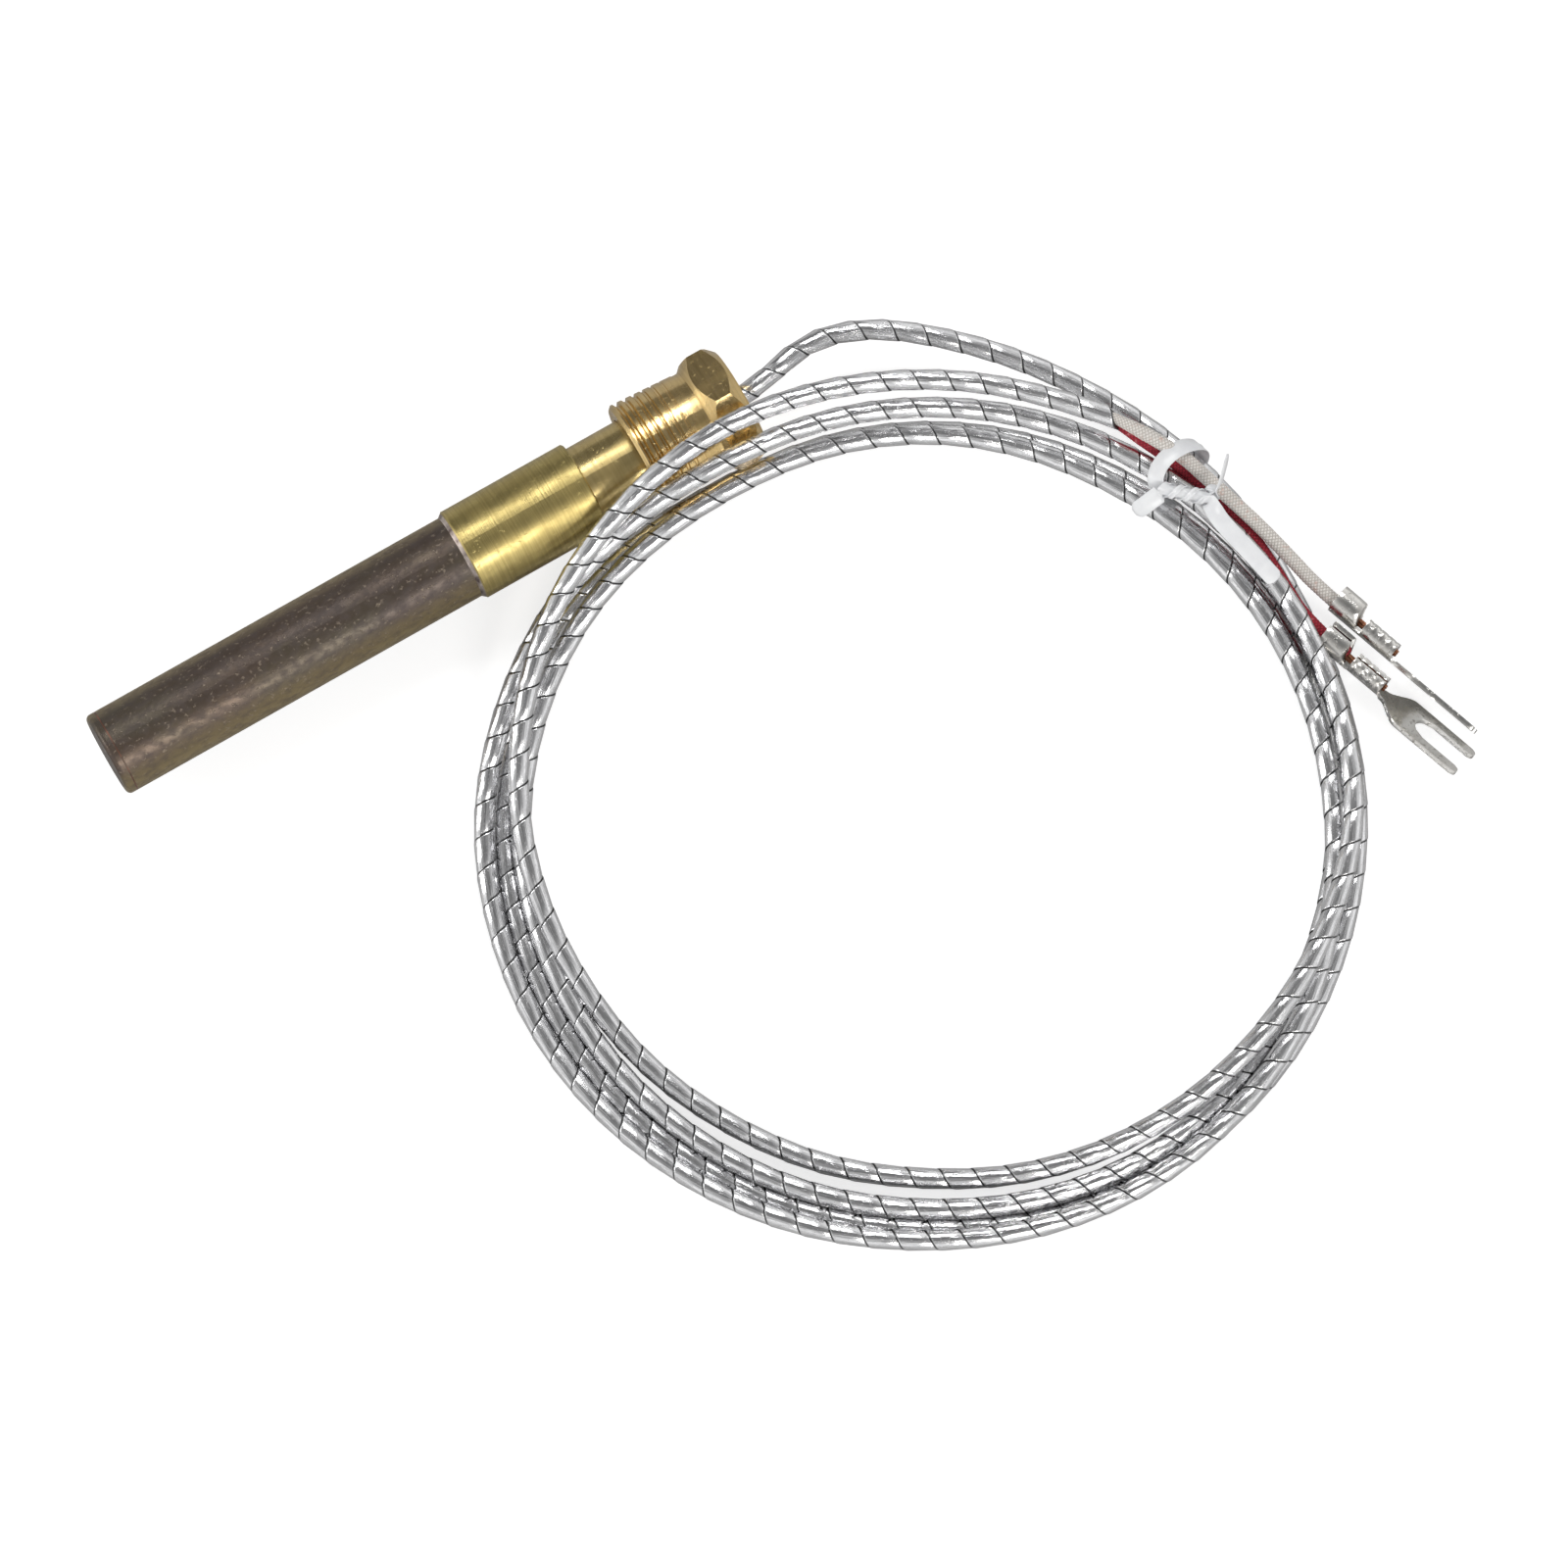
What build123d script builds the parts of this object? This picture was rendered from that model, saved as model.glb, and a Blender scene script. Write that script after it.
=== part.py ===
"""Thermopile generator for a gas heater: a probe, an armoured lead and two fork terminals.

The probe lies level along X with its hot end towards -X. Its pieces are placed by their
distance from the hot end, which the function along() turns into X. Sizes are millimetres.
"""
import os
from math import cos, hypot, pi, radians, sin, tan

from build123d import *

os.makedirs("parts", exist_ok=True)

# Hot end: a steel tube closed by a pressed cap
TUBE_RADIUS = 4.55
TUBE_WALL = 0.6
CAP_THICKNESS = 1.0
CAP_EDGE_RADIUS = 0.55
CAP_SPIGOT = 1.3
BRAZE_THICKNESS = 0.15
TUBE_VISIBLE_END = 41.9
TUBE_GRIP = 6.0
TUBE_SEAT_STEP = 0.2

# Brass sleeve over the end of the tube, and the narrower neck behind it
SLEEVE_STEP = 0.45
SLEEVE_WEB = 2.4
SLEEVE_CHAMFER = 0.15
SOLDER_LENGTH = 0.4
NECK_STEP = 0.65
NECK_WALL = 0.7
NECK_GRIP = 6.0
NECK_SHOWN = 6.0
NECK_END_WALL = 1.2

# Loose hexagon nut with an outside thread of 12 mm by 1 mm
NUT_CLEARANCE = 0.1
NUT_WALL = 1.55
THREAD_PITCH = 1.0
THREAD_DEPTH = 0.4
THREAD_LAND = 0.3
THREAD_ROOT = 0.2
THREAD_LENGTH = 7.2
THREAD_CHAMFER = 0.35
COLLAR_LENGTH = 0.8
COLLAR_STEP = 0.5
HEX_LENGTH = 4.4
HEX_CHAMFER_ANGLE = 45.0
HEX_CHAMFER_INSET = 0.45
HEX_TURN = 2.5
NUT_END_WALL = 3.1
LEAD_ROOM = 0.6

# Thermopile inside the hot end
PAIRS = 12
STRIP_WIDTH = 0.45
STRIP_THICKNESS = 0.3
STRIP_GAP = 0.15
HOT_SPACE = 2.0
COLD_SPACE = 2.9
JUNCTION_LENGTH = 0.8
LINER_WALL = 0.55
LINER_CLEARANCE = 0.05
LINER_ROOM = 0.3
LINER_GAP = 0.1
INSULATOR_THICKNESS = 0.6
COLD_DISC_THICKNESS = 2.0
PIN_RADIUS = 0.3
PIN_SPREAD = 1.3
PIN_REACH = 4.7
SPLICE_WALL = 0.22
SPLICE_LENGTH = 4.0
CEMENT_GAP = 1.0
CEMENT_LENGTH = 6.0
FIT = 0.03

# Lead: a steel strip wound round two insulated wires
ARMOUR_RADIUS = 1.1
WIRE_RADIUS = 0.7
INNER_WIRE_RADIUS = 0.5
FERRULE_WALL = 0.7
FERRULE_FLANGE = 0.6
FERRULE_FLANGE_THICKNESS = 0.8
LEAD_STRAIGHT = 1.85

# Fork terminals
FORK_WIDTH = 5.6
FORK_THICKNESS = 0.6
FORK_SLOT = 3.2
FORK_SLOT_DEPTH = 6.6
FORK_BLADE = 9.3
FORK_SHOULDER = 2.2
STRAND_RADIUS = 0.5
STRAND_GAP = 0.05
BARREL_ROOM = 0.12
BARREL_LENGTH = 4.0
GRIP_LENGTH = 3.2
GRIP_GAP = 0.9
GRIP_WALL = 0.4
GRIP_CLEARANCE = 0.05

# Plastic tie
TIE_THICKNESS = 0.35
TIE_WIDTH = 2.6
TIE_KNOT = (1.9, 1.3, 5.2)
TIE_TAIL = (1.5, 0.5, 7.0)

TUBE_BORE = TUBE_RADIUS - TUBE_WALL
SEAT_RADIUS = TUBE_RADIUS - TUBE_SEAT_STEP
SLEEVE_RADIUS = TUBE_RADIUS + SLEEVE_STEP
SOLDER_RADIUS = SLEEVE_RADIUS - SLEEVE_CHAMFER
NECK_RADIUS = SLEEVE_RADIUS - NECK_STEP
NECK_BORE = NECK_RADIUS - NECK_WALL
NUT_BORE = NECK_RADIUS + NUT_CLEARANCE
THREAD_RADIUS = NUT_BORE + NUT_WALL
COLLAR_RADIUS = THREAD_RADIUS - COLLAR_STEP
HEX_FLAT = THREAD_RADIUS
HEX_CORNER = HEX_FLAT / cos(pi / 6)
AXIS_Z = HEX_CORNER * cos(radians(HEX_TURN))

TUBE_START = CAP_THICKNESS + BRAZE_THICKNESS
SEAT_START = TUBE_VISIBLE_END - SOLDER_LENGTH
TUBE_END = TUBE_VISIBLE_END + TUBE_GRIP
NECK_START = TUBE_END + SLEEVE_WEB
SLEEVE_END = NECK_START + NECK_GRIP
NUT_START = SLEEVE_END + NECK_SHOWN
HEX_START = NUT_START + THREAD_LENGTH + COLLAR_LENGTH
PROBE_LENGTH = HEX_START + HEX_LENGTH
NUT_BORE_END = PROBE_LENGTH - NUT_END_WALL
NECK_END = NUT_BORE_END - NUT_CLEARANCE
LEAD_START = NECK_END - NECK_END_WALL - FERRULE_FLANGE_THICKNESS


def along(distance):
    """X of a point at this distance from the hot end."""
    return distance - PROBE_LENGTH / 2


probe_axis = Axis((0, 0, AXIS_Z), (1, 0, 0))
probe_plane = Plane(origin=(0, 0, AXIS_Z), x_dir=(1, 0, 0), z_dir=(0, -1, 0))


def across(distance):
    """Plane across the probe at this distance from the hot end, facing the nut."""
    return Plane(origin=(along(distance), 0, AXIS_Z), x_dir=(0, 1, 0), z_dir=(1, 0, 0))


def ring(start, end, inner, outer):
    """Half section of a plain ring, drawn in the sketch that is open."""
    with Locations((along((start + end) / 2), (inner + outer) / 2)):
        Rectangle(end - start, outer - inner)


def save(name, piece):
    """Name a finished piece and write its file."""
    piece.part.label = name
    export_step(piece.part, f"parts/{name}.step")


# End cap: a pressed disc with a rounded edge and a spigot inside the tube
with BuildPart() as end_cap:
    with BuildSketch(probe_plane):
        ring(0, CAP_THICKNESS, 0, TUBE_RADIUS)
        ring(CAP_THICKNESS, CAP_THICKNESS + CAP_SPIGOT, 0, TUBE_BORE - FIT)
    revolve(axis=probe_axis)
    fillet(end_cap.edges().group_by(Axis.X)[0], CAP_EDGE_RADIUS)
save("end_cap", end_cap)

# Braze between the cap and the tube
with BuildPart() as cap_braze:
    with BuildSketch(probe_plane):
        ring(CAP_THICKNESS, TUBE_START, TUBE_BORE, TUBE_RADIUS)
    revolve(axis=probe_axis)
save("cap_braze", cap_braze)

# Hot end tube: its end is turned down a little and pushed into the sleeve
with BuildPart() as hot_end_tube:
    with BuildSketch(probe_plane):
        ring(TUBE_START, SEAT_START, TUBE_BORE, TUBE_RADIUS)
        ring(SEAT_START, TUBE_END, TUBE_BORE, SEAT_RADIUS)
    revolve(axis=probe_axis)
save("hot_end_tube", hot_end_tube)

# Brass sleeve: bored from both ends, with a wall between the tube and the neck
with BuildPart() as brass_sleeve:
    with BuildSketch(probe_plane):
        ring(TUBE_VISIBLE_END, TUBE_END + FIT, SEAT_RADIUS + FIT, SLEEVE_RADIUS)
        ring(TUBE_END + FIT, NECK_START - FIT, NECK_BORE, SLEEVE_RADIUS)
        ring(NECK_START - FIT, SLEEVE_END, NECK_RADIUS + FIT, SLEEVE_RADIUS)
    revolve(axis=probe_axis)
    outer_rims = brass_sleeve.edges().filter_by(GeomType.CIRCLE).group_by(SortBy.RADIUS)[-1]
    chamfer(outer_rims, SLEEVE_CHAMFER)
save("brass_sleeve", brass_sleeve)

# Solder in the step between the tube and the sleeve
with BuildPart() as solder_ring:
    with BuildSketch(probe_plane):
        with BuildLine():
            Polyline(
                (along(SEAT_START), SEAT_RADIUS),
                (along(TUBE_VISIBLE_END), SEAT_RADIUS),
                (along(TUBE_VISIBLE_END), SOLDER_RADIUS),
                (along(SEAT_START), TUBE_RADIUS),
                close=True,
            )
        make_face()
    revolve(axis=probe_axis)
save("solder_ring", solder_ring)

# Neck: a brass cup whose end wall holds the ferrule
FERRULE_BODY = ARMOUR_RADIUS + FERRULE_WALL
with BuildPart() as neck_tube:
    with BuildSketch(probe_plane):
        ring(NECK_START, NECK_END - NECK_END_WALL, NECK_BORE, NECK_RADIUS)
        ring(NECK_END - NECK_END_WALL, NECK_END, FERRULE_BODY, NECK_RADIUS)
    revolve(axis=probe_axis)
save("neck_tube", neck_tube)

# Nut: it turns on the neck, and its end wall lets the lead through
GROOVES = int((THREAD_LENGTH - THREAD_CHAMFER) / THREAD_PITCH)
with BuildPart() as attachment_nut:
    with BuildSketch(probe_plane):
        ring(NUT_START, NUT_START + THREAD_LENGTH, NUT_BORE, THREAD_RADIUS)
        ring(NUT_START + THREAD_LENGTH, HEX_START, NUT_BORE, COLLAR_RADIUS)
    revolve(axis=probe_axis)
    with BuildSketch(across(HEX_START)):
        RegularPolygon(HEX_CORNER, 6, rotation=90 + HEX_TURN)
    extrude(amount=HEX_LENGTH)
    with BuildSketch(probe_plane):
        with BuildLine():
            face = HEX_FLAT - HEX_CHAMFER_INSET
            corner = HEX_CORNER + FIT
            drop = (corner - face) * tan(radians(HEX_CHAMFER_ANGLE))
            front = along(HEX_START)
            back = along(PROBE_LENGTH)
            Polyline(
                (along(NUT_START), 0),
                (along(NUT_START), THREAD_RADIUS - THREAD_CHAMFER),
                (along(NUT_START + THREAD_CHAMFER), THREAD_RADIUS),
                (front, face),
                (front + drop, corner),
                (back - drop, corner),
                (back, face),
                (back, 0),
                close=True,
            )
        make_face()
    revolve(axis=probe_axis, mode=Mode.INTERSECT)
    with BuildSketch(probe_plane):
        ring(NUT_START, NUT_BORE_END, 0, NUT_BORE)
        ring(NUT_BORE_END, PROBE_LENGTH, 0, ARMOUR_RADIUS + LEAD_ROOM)
    revolve(axis=probe_axis, mode=Mode.SUBTRACT)
    with BuildSketch(probe_plane):
        for groove in range(GROOVES):
            middle = along(NUT_START + THREAD_CHAMFER + (groove + 0.5) * THREAD_PITCH)
            half = (THREAD_PITCH - THREAD_LAND) / 2
            with BuildLine():
                Polyline(
                    (middle - half, THREAD_RADIUS + FIT),
                    (middle - THREAD_ROOT / 2, THREAD_RADIUS - THREAD_DEPTH),
                    (middle + THREAD_ROOT / 2, THREAD_RADIUS - THREAD_DEPTH),
                    (middle + half, THREAD_RADIUS + FIT),
                    close=True,
                )
            make_face()
    revolve(axis=probe_axis, mode=Mode.SUBTRACT)
save("attachment_nut", attachment_nut)

# Mica disc that keeps the junctions off the cap
CAP_INSIDE = CAP_THICKNESS + CAP_SPIGOT
with BuildPart() as tip_insulator:
    with BuildSketch(probe_plane):
        ring(CAP_INSIDE, CAP_INSIDE + INSULATOR_THICKNESS, 0, TUBE_BORE - LINER_CLEARANCE)
    revolve(axis=probe_axis)
save("tip_insulator", tip_insulator)

# Mica liner between the thermopile and the tube
LINER_START = CAP_INSIDE + INSULATOR_THICKNESS + LINER_GAP
LINER_OUTER = TUBE_BORE - LINER_CLEARANCE
LINER_INNER = LINER_OUTER - LINER_WALL
with BuildPart() as mica_liner:
    with BuildSketch(probe_plane):
        ring(LINER_START, TUBE_END, LINER_INNER, LINER_OUTER)
    revolve(axis=probe_axis)
save("mica_liner", mica_liner)

# Ceramic core that the strips lie round
STRIP_CIRCLE = LINER_INNER - LINER_ROOM - STRIP_THICKNESS / 2
CORE_RADIUS = STRIP_CIRCLE - STRIP_THICKNESS / 2 - STRIP_GAP
STRIP_START = LINER_START + HOT_SPACE
STRIP_END = TUBE_END - COLD_SPACE
with BuildPart() as ceramic_core:
    with BuildSketch(across(STRIP_START)):
        Circle(CORE_RADIUS)
    extrude(amount=STRIP_END - STRIP_START)
save("ceramic_core", ceramic_core)

# Strips of the two alloys, taking turns round the core
STRIP_STEP = 360 / (2 * PAIRS)
for alloy, name in enumerate(("positive_strips", "negative_strips")):
    with BuildPart() as strips:
        with BuildSketch(across(STRIP_START)):
            with PolarLocations(STRIP_CIRCLE, PAIRS, start_angle=alloy * STRIP_STEP):
                Rectangle(STRIP_THICKNESS, STRIP_WIDTH)
        extrude(amount=STRIP_END - STRIP_START)
    save(name, strips)

# Welded junctions: each hot one joins the strips of a pair
JUNCTION_WIDTH = 2 * STRIP_CIRCLE * sin(radians(STRIP_STEP / 2)) + STRIP_WIDTH
with BuildPart() as hot_junctions:
    with BuildSketch(across(STRIP_START - JUNCTION_LENGTH)):
        with PolarLocations(STRIP_CIRCLE, PAIRS, start_angle=STRIP_STEP / 2):
            Rectangle(STRIP_THICKNESS, JUNCTION_WIDTH)
    extrude(amount=JUNCTION_LENGTH)
save("hot_junctions", hot_junctions)

# Cold junctions: each joins a pair to the next, with one place left for the pins
with BuildPart() as cold_junctions:
    with BuildSketch(across(STRIP_END)):
        first = 1.5 * STRIP_STEP
        arc = 360 - 4 * STRIP_STEP
        with PolarLocations(STRIP_CIRCLE, PAIRS - 1, first, arc, endpoint=True):
            Rectangle(STRIP_THICKNESS, JUNCTION_WIDTH)
    extrude(amount=JUNCTION_LENGTH)
save("cold_junctions", cold_junctions)

# Ceramic disc at the cold end, with a hole for each pin
with BuildPart() as cold_end_disc:
    with BuildSketch(across(TUBE_END + FIT)):
        Circle(NECK_BORE - LINER_CLEARANCE)
        with Locations((PIN_SPREAD, 0), (-PIN_SPREAD, 0)):
            Circle(PIN_RADIUS + FIT, mode=Mode.SUBTRACT)
    extrude(amount=COLD_DISC_THICKNESS)
save("cold_end_disc", cold_end_disc)

# Output pins from the ends of the pile to the splices
PIN_START = STRIP_END + JUNCTION_LENGTH + FIT
SPLICE_START = NECK_START + PIN_REACH
PIN_END = SPLICE_START + SPLICE_LENGTH / 2
with BuildPart() as output_pins:
    with BuildSketch(across(PIN_START)):
        with Locations((PIN_SPREAD, 0), (-PIN_SPREAD, 0)):
            Circle(PIN_RADIUS)
    extrude(amount=PIN_END - PIN_START)
save("output_pins", output_pins)

# Splices: crimped sleeves that join the pins to the wires
SPLICE_BORE = INNER_WIRE_RADIUS + FIT
with BuildPart() as splice_sleeves:
    with BuildSketch(across(SPLICE_START)):
        with Locations((PIN_SPREAD, 0), (-PIN_SPREAD, 0)):
            Circle(SPLICE_BORE + SPLICE_WALL)
            Circle(SPLICE_BORE, mode=Mode.SUBTRACT)
    extrude(amount=SPLICE_LENGTH)
save("splice_sleeves", splice_sleeves)

# Inner ends of the two wires, between the splices and the ferrule
for name, side in (("inner_white_wire", PIN_SPREAD), ("inner_red_wire", -PIN_SPREAD)):
    with BuildPart() as inner_wire:
        with BuildSketch(across(PIN_END)):
            with Locations((side, 0)):
                Circle(INNER_WIRE_RADIUS)
        extrude(amount=LEAD_START - FIT - PIN_END)
    save(name, inner_wire)

# Cement that seals the neck round the wires
CEMENT_START = SPLICE_START + SPLICE_LENGTH + CEMENT_GAP
with BuildPart() as sealing_cement:
    with BuildSketch(across(CEMENT_START)):
        Circle(NECK_BORE - FIT)
        with Locations((PIN_SPREAD, 0), (-PIN_SPREAD, 0)):
            Circle(INNER_WIRE_RADIUS + FIT, mode=Mode.SUBTRACT)
    extrude(amount=CEMENT_LENGTH)
save("sealing_cement", sealing_cement)

# Ferrule that grips the armour in the neck's end wall
with BuildPart() as lead_ferrule:
    with BuildSketch(probe_plane):
        flange_end = LEAD_START + FERRULE_FLANGE_THICKNESS
        ring(LEAD_START, flange_end - FIT, ARMOUR_RADIUS + FIT, FERRULE_BODY + FERRULE_FLANGE)
        ring(flange_end - FIT, NECK_END, ARMOUR_RADIUS + FIT, FERRULE_BODY - FIT)
    revolve(axis=probe_axis)
save("lead_ferrule", lead_ferrule)

# Loose coil of the lead: twelve stations a turn, clockwise seen from above. Each pair
# is the strand's distance from the middle of the coil and its height above the table.
COIL_CENTRE = (32.1, -46.1)
COIL_STEP = 30.0
COIL_START = 0.0
COIL_STATIONS = (
    # lowest turn: it lies on the table, and tucks in beside the nut
    (44.4, 1.15), (44.8, 1.15), (44.8, 1.15), (43.9, 1.15), (42.6, 1.15), (42.6, 1.15),
    (42.7, 1.15), (42.8, 1.15), (42.0, 1.15), (39.8, 1.2), (40.5, 1.15), (41.0, 1.15),
    # second turn: it climbs against the nut
    (42.0, 1.15), (42.6, 1.15), (42.6, 1.15), (42.2, 2.6), (40.8, 2.4), (40.7, 2.3),
    (40.8, 2.2), (41.0, 2.6), (40.1, 5.0), (37.9, 9.6), (38.8, 7.4), (39.4, 4.6),
    # third turn: the outermost one at the far side
    (41.0, 3.3), (42.2, 3.3), (44.3, 3.1), (44.7, 3.2), (44.1, 2.8), (44.4, 2.5),
    (44.9, 1.5), (44.8, 2.2), (42.8, 7.5), (39.9, 13.2), (40.9, 10.4), (42.4, 7.0),
    # last turn: it crosses over the others and ends on top of the nut's side
    (43.6, 4.4), (44.4, 5.2), (42.0, 5.2), (39.6, 3.0), (37.4, 1.15), (37.3, 1.15),
    (38.7, 2.2), (41.1, 4.9), (42.7, 9.8), (42.8, 15.4), (43.3, 12.6), (44.3, 9.8),
)
TURN_STATIONS = 12
NUT_ROOM = 0.35


def coil_point(radius, station, height):
    """A point of the coil at so many stations after its start."""
    angle = radians(COIL_START - station * COIL_STEP)
    return (COIL_CENTRE[0] + radius * cos(angle), COIL_CENTRE[1] + radius * sin(angle), height)


def coil_between(place):
    """Distance and height of the strand between two stations."""
    before = min(int(place), len(COIL_STATIONS) - 2)
    share = place - before
    pair = zip(COIL_STATIONS[before], COIL_STATIONS[before + 1])
    return tuple(low + (high - low) * share for low, high in pair)


def coil_section(place):
    """Inner, outer, lowest and highest reach of all the turns at this part of a turn."""
    last = len(COIL_STATIONS) - 1
    turns = [place + n * TURN_STATIONS for n in range(5)]
    strands = [coil_between(turn) for turn in turns if turn <= last + 0.01]
    radii = [strand[0] for strand in strands]
    heights = [strand[1] for strand in strands]
    inner = min(radii) - ARMOUR_RADIUS
    outer = max(radii) + ARMOUR_RADIUS
    bottom = max(min(heights) - ARMOUR_RADIUS, 0)
    return inner, outer, bottom, max(heights) + ARMOUR_RADIUS


# Coil as one ring, cut clear of the brass that it leans on
SECTIONS_PER_STATION = 3
HALF_TURN = TURN_STATIONS // 2
with BuildPart() as armour_coil:
    for half in range(2):
        for step in range(HALF_TURN * SECTIONS_PER_STATION + 1):
            station = half * HALF_TURN + step / SECTIONS_PER_STATION
            inner, outer, bottom, top = coil_section(station % TURN_STATIONS)
            facing = radians(COIL_START - station * COIL_STEP)
            section_plane = Plane(
                origin=coil_point(0, station, 0),
                x_dir=(cos(facing), sin(facing), 0),
                z_dir=(sin(facing), -cos(facing), 0),
            )
            with BuildSketch(section_plane):
                with BuildLine():
                    Polyline((inner, bottom), (outer, bottom), (outer, top), (inner, top), close=True)
                make_face()
        loft(ruled=True)
    with BuildSketch(across(-NUT_ROOM)):
        Circle(SLEEVE_RADIUS + NUT_ROOM)
    extrude(amount=NUT_START - NUT_ROOM, mode=Mode.SUBTRACT)
    with BuildSketch(across(NUT_START - 2 * NUT_ROOM)):
        Circle(HEX_CORNER + NUT_ROOM)
    extrude(amount=PROBE_LENGTH - NUT_START + 4 * NUT_ROOM, mode=Mode.SUBTRACT)
save("armour_coil", armour_coil)


def corner_radii(points):
    """Largest gentle radius for each corner of a route."""
    radii = []
    for before, corner, after in zip(points, points[1:], points[2:]):
        into = Vector(*corner) - Vector(*before)
        out = Vector(*after) - Vector(*corner)
        turn = radians(into.get_angle(out))
        radii.append(0.45 * min(into.length, out.length) / tan(turn / 2))
    return radii


def cord(name, points, radius):
    """A round cord along straight runs joined by tangent arcs."""
    radii = corner_radii(points)
    with BuildPart() as piece:
        with BuildLine() as route:
            FilletPolyline(*points, radius=radii)
        path = route.wire()
        with BuildSketch(Plane(origin=points[0], z_dir=path % 0)):
            Circle(radius)
        sweep(path=path)
    length = path.length
    expected = pi * radius**2 * length
    print(name, "length", round(length, 1), "volume", round(piece.part.volume / expected, 4))
    print(name, "radii", [round(value, 1) for value in radii])
    save(name, piece)


# Armoured lead from the ferrule to the coil
LEAD_ROUTE = (
    (along(LEAD_START), 0, AXIS_Z),
    (along(PROBE_LENGTH + LEAD_STRAIGHT), 0, AXIS_Z),
    (46.0, 2.1, 6.7),
    (52.4, 0.4, 6.0),
    (58.2, -3.7, 5.0),
    (63.8, -9.0, 3.9),
    (68.6, -15.1, 2.8),
    (72.6, -22.0, 2.2),
    (75.4, -29.3, 1.8),
    (76.9, -36.4, 1.3),
)
cord("armour_lead", LEAD_ROUTE, ARMOUR_RADIUS)

# Fork terminals: where each grip starts, its heading and how far its blade is rolled
WHITE_START = (80.0, -48.2, 3.0)
WHITE_HEADING = -71.0
WHITE_ROLL = 80.0
RED_START = (77.1, -50.8, 3.4)
RED_HEADING = -71.0
RED_ROLL = 46.0
STRAIGHT_BEFORE_GRIP = 2.5
BARREL_BORE = STRAND_RADIUS + BARREL_ROOM
BARREL_OUTER = STRAND_RADIUS + STRAND_GAP + FORK_THICKNESS


def ahead(start, heading, distance):
    """The point this far in front of a terminal's start."""
    turn = radians(heading)
    return (start[0] + distance * cos(turn), start[1] + distance * sin(turn), start[2])


# White wire, from the end of the armour into its terminal
WHITE_ROUTE = (
    (69.3, -21.6, 10.3),
    (72.9, -26.4, 8.5),
    (75.0, -32.0, 6.5),
    (76.8, -37.0, 5.3),
    (78.2, -41.8, 4.0),
    ahead(WHITE_START, WHITE_HEADING, -STRAIGHT_BEFORE_GRIP),
    ahead(WHITE_START, WHITE_HEADING, GRIP_LENGTH),
)
cord("white_wire", WHITE_ROUTE, WIRE_RADIUS)

# Red wire, beside the white one
RED_ROUTE = (
    (68.9, -21.9, 8.9),
    (72.3, -26.7, 7.1),
    (74.3, -32.2, 5.1),
    (76.0, -37.3, 3.9),
    (76.3, -43.0, 3.4),
    ahead(RED_START, RED_HEADING, -STRAIGHT_BEFORE_GRIP),
    ahead(RED_START, RED_HEADING, GRIP_LENGTH),
)
cord("red_wire", RED_ROUTE, WIRE_RADIUS)


def fork_terminal(name, start, heading, roll):
    """A stamped fork terminal and the wire end in its barrel, from where its grip starts."""
    turn = radians(heading)
    lean = radians(roll)
    run = (cos(turn), sin(turn), 0)
    up = (-sin(lean) * sin(turn), sin(lean) * cos(turn), cos(lean))
    place = Plane(origin=start, x_dir=run, z_dir=up)
    rear = Plane(origin=start, x_dir=place.y_dir, z_dir=run)
    grip_bore = WIRE_RADIUS + GRIP_CLEARANCE
    barrel_start = GRIP_LENGTH + GRIP_GAP
    blade_start = barrel_start + BARREL_LENGTH
    floor = -BARREL_OUTER + FORK_THICKNESS / 2
    fork_end = blade_start + FORK_SHOULDER + FORK_BLADE
    with BuildPart() as terminal:
        with BuildSketch(rear):
            Circle(grip_bore + GRIP_WALL)
            Circle(grip_bore, mode=Mode.SUBTRACT)
        extrude(amount=GRIP_LENGTH)
        with BuildSketch(rear.offset(barrel_start)):
            Circle(BARREL_OUTER)
            Circle(BARREL_BORE, mode=Mode.SUBTRACT)
        extrude(amount=BARREL_LENGTH)
        with BuildSketch(place.offset(floor - FORK_THICKNESS / 2)):
            with Locations((blade_start / 2, 0)):
                Rectangle(blade_start, BARREL_OUTER)
            with BuildLine():
                Polyline(
                    (blade_start, -BARREL_OUTER / 2),
                    (blade_start + FORK_SHOULDER, -FORK_WIDTH / 2),
                    (fork_end, -FORK_WIDTH / 2),
                    (fork_end, FORK_WIDTH / 2),
                    (blade_start + FORK_SHOULDER, FORK_WIDTH / 2),
                    (blade_start, BARREL_OUTER / 2),
                    close=True,
                )
            make_face()
            slot_start = fork_end - FORK_SLOT_DEPTH + FORK_SLOT / 2
            with Locations((slot_start, 0)):
                Circle(FORK_SLOT / 2, mode=Mode.SUBTRACT)
            with Locations(((slot_start + fork_end) / 2, 0)):
                Rectangle(fork_end - slot_start, FORK_SLOT, mode=Mode.SUBTRACT)
        extrude(amount=FORK_THICKNESS)
        with BuildSketch(rear):
            Circle(grip_bore)
        extrude(amount=GRIP_LENGTH, mode=Mode.SUBTRACT)
        with BuildSketch(rear.offset(barrel_start)):
            Circle(BARREL_BORE)
        extrude(amount=BARREL_LENGTH, mode=Mode.SUBTRACT)
    save(f"{name}_terminal", terminal)
    with BuildPart() as conductor:
        with BuildSketch(rear.offset(GRIP_LENGTH)):
            Circle(STRAND_RADIUS)
        extrude(amount=blade_start + GRIP_GAP - GRIP_LENGTH)
    save(f"{name}_conductor", conductor)


fork_terminal("white", WHITE_START, WHITE_HEADING, WHITE_ROLL)
fork_terminal("red", RED_START, RED_HEADING, RED_ROLL)

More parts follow.
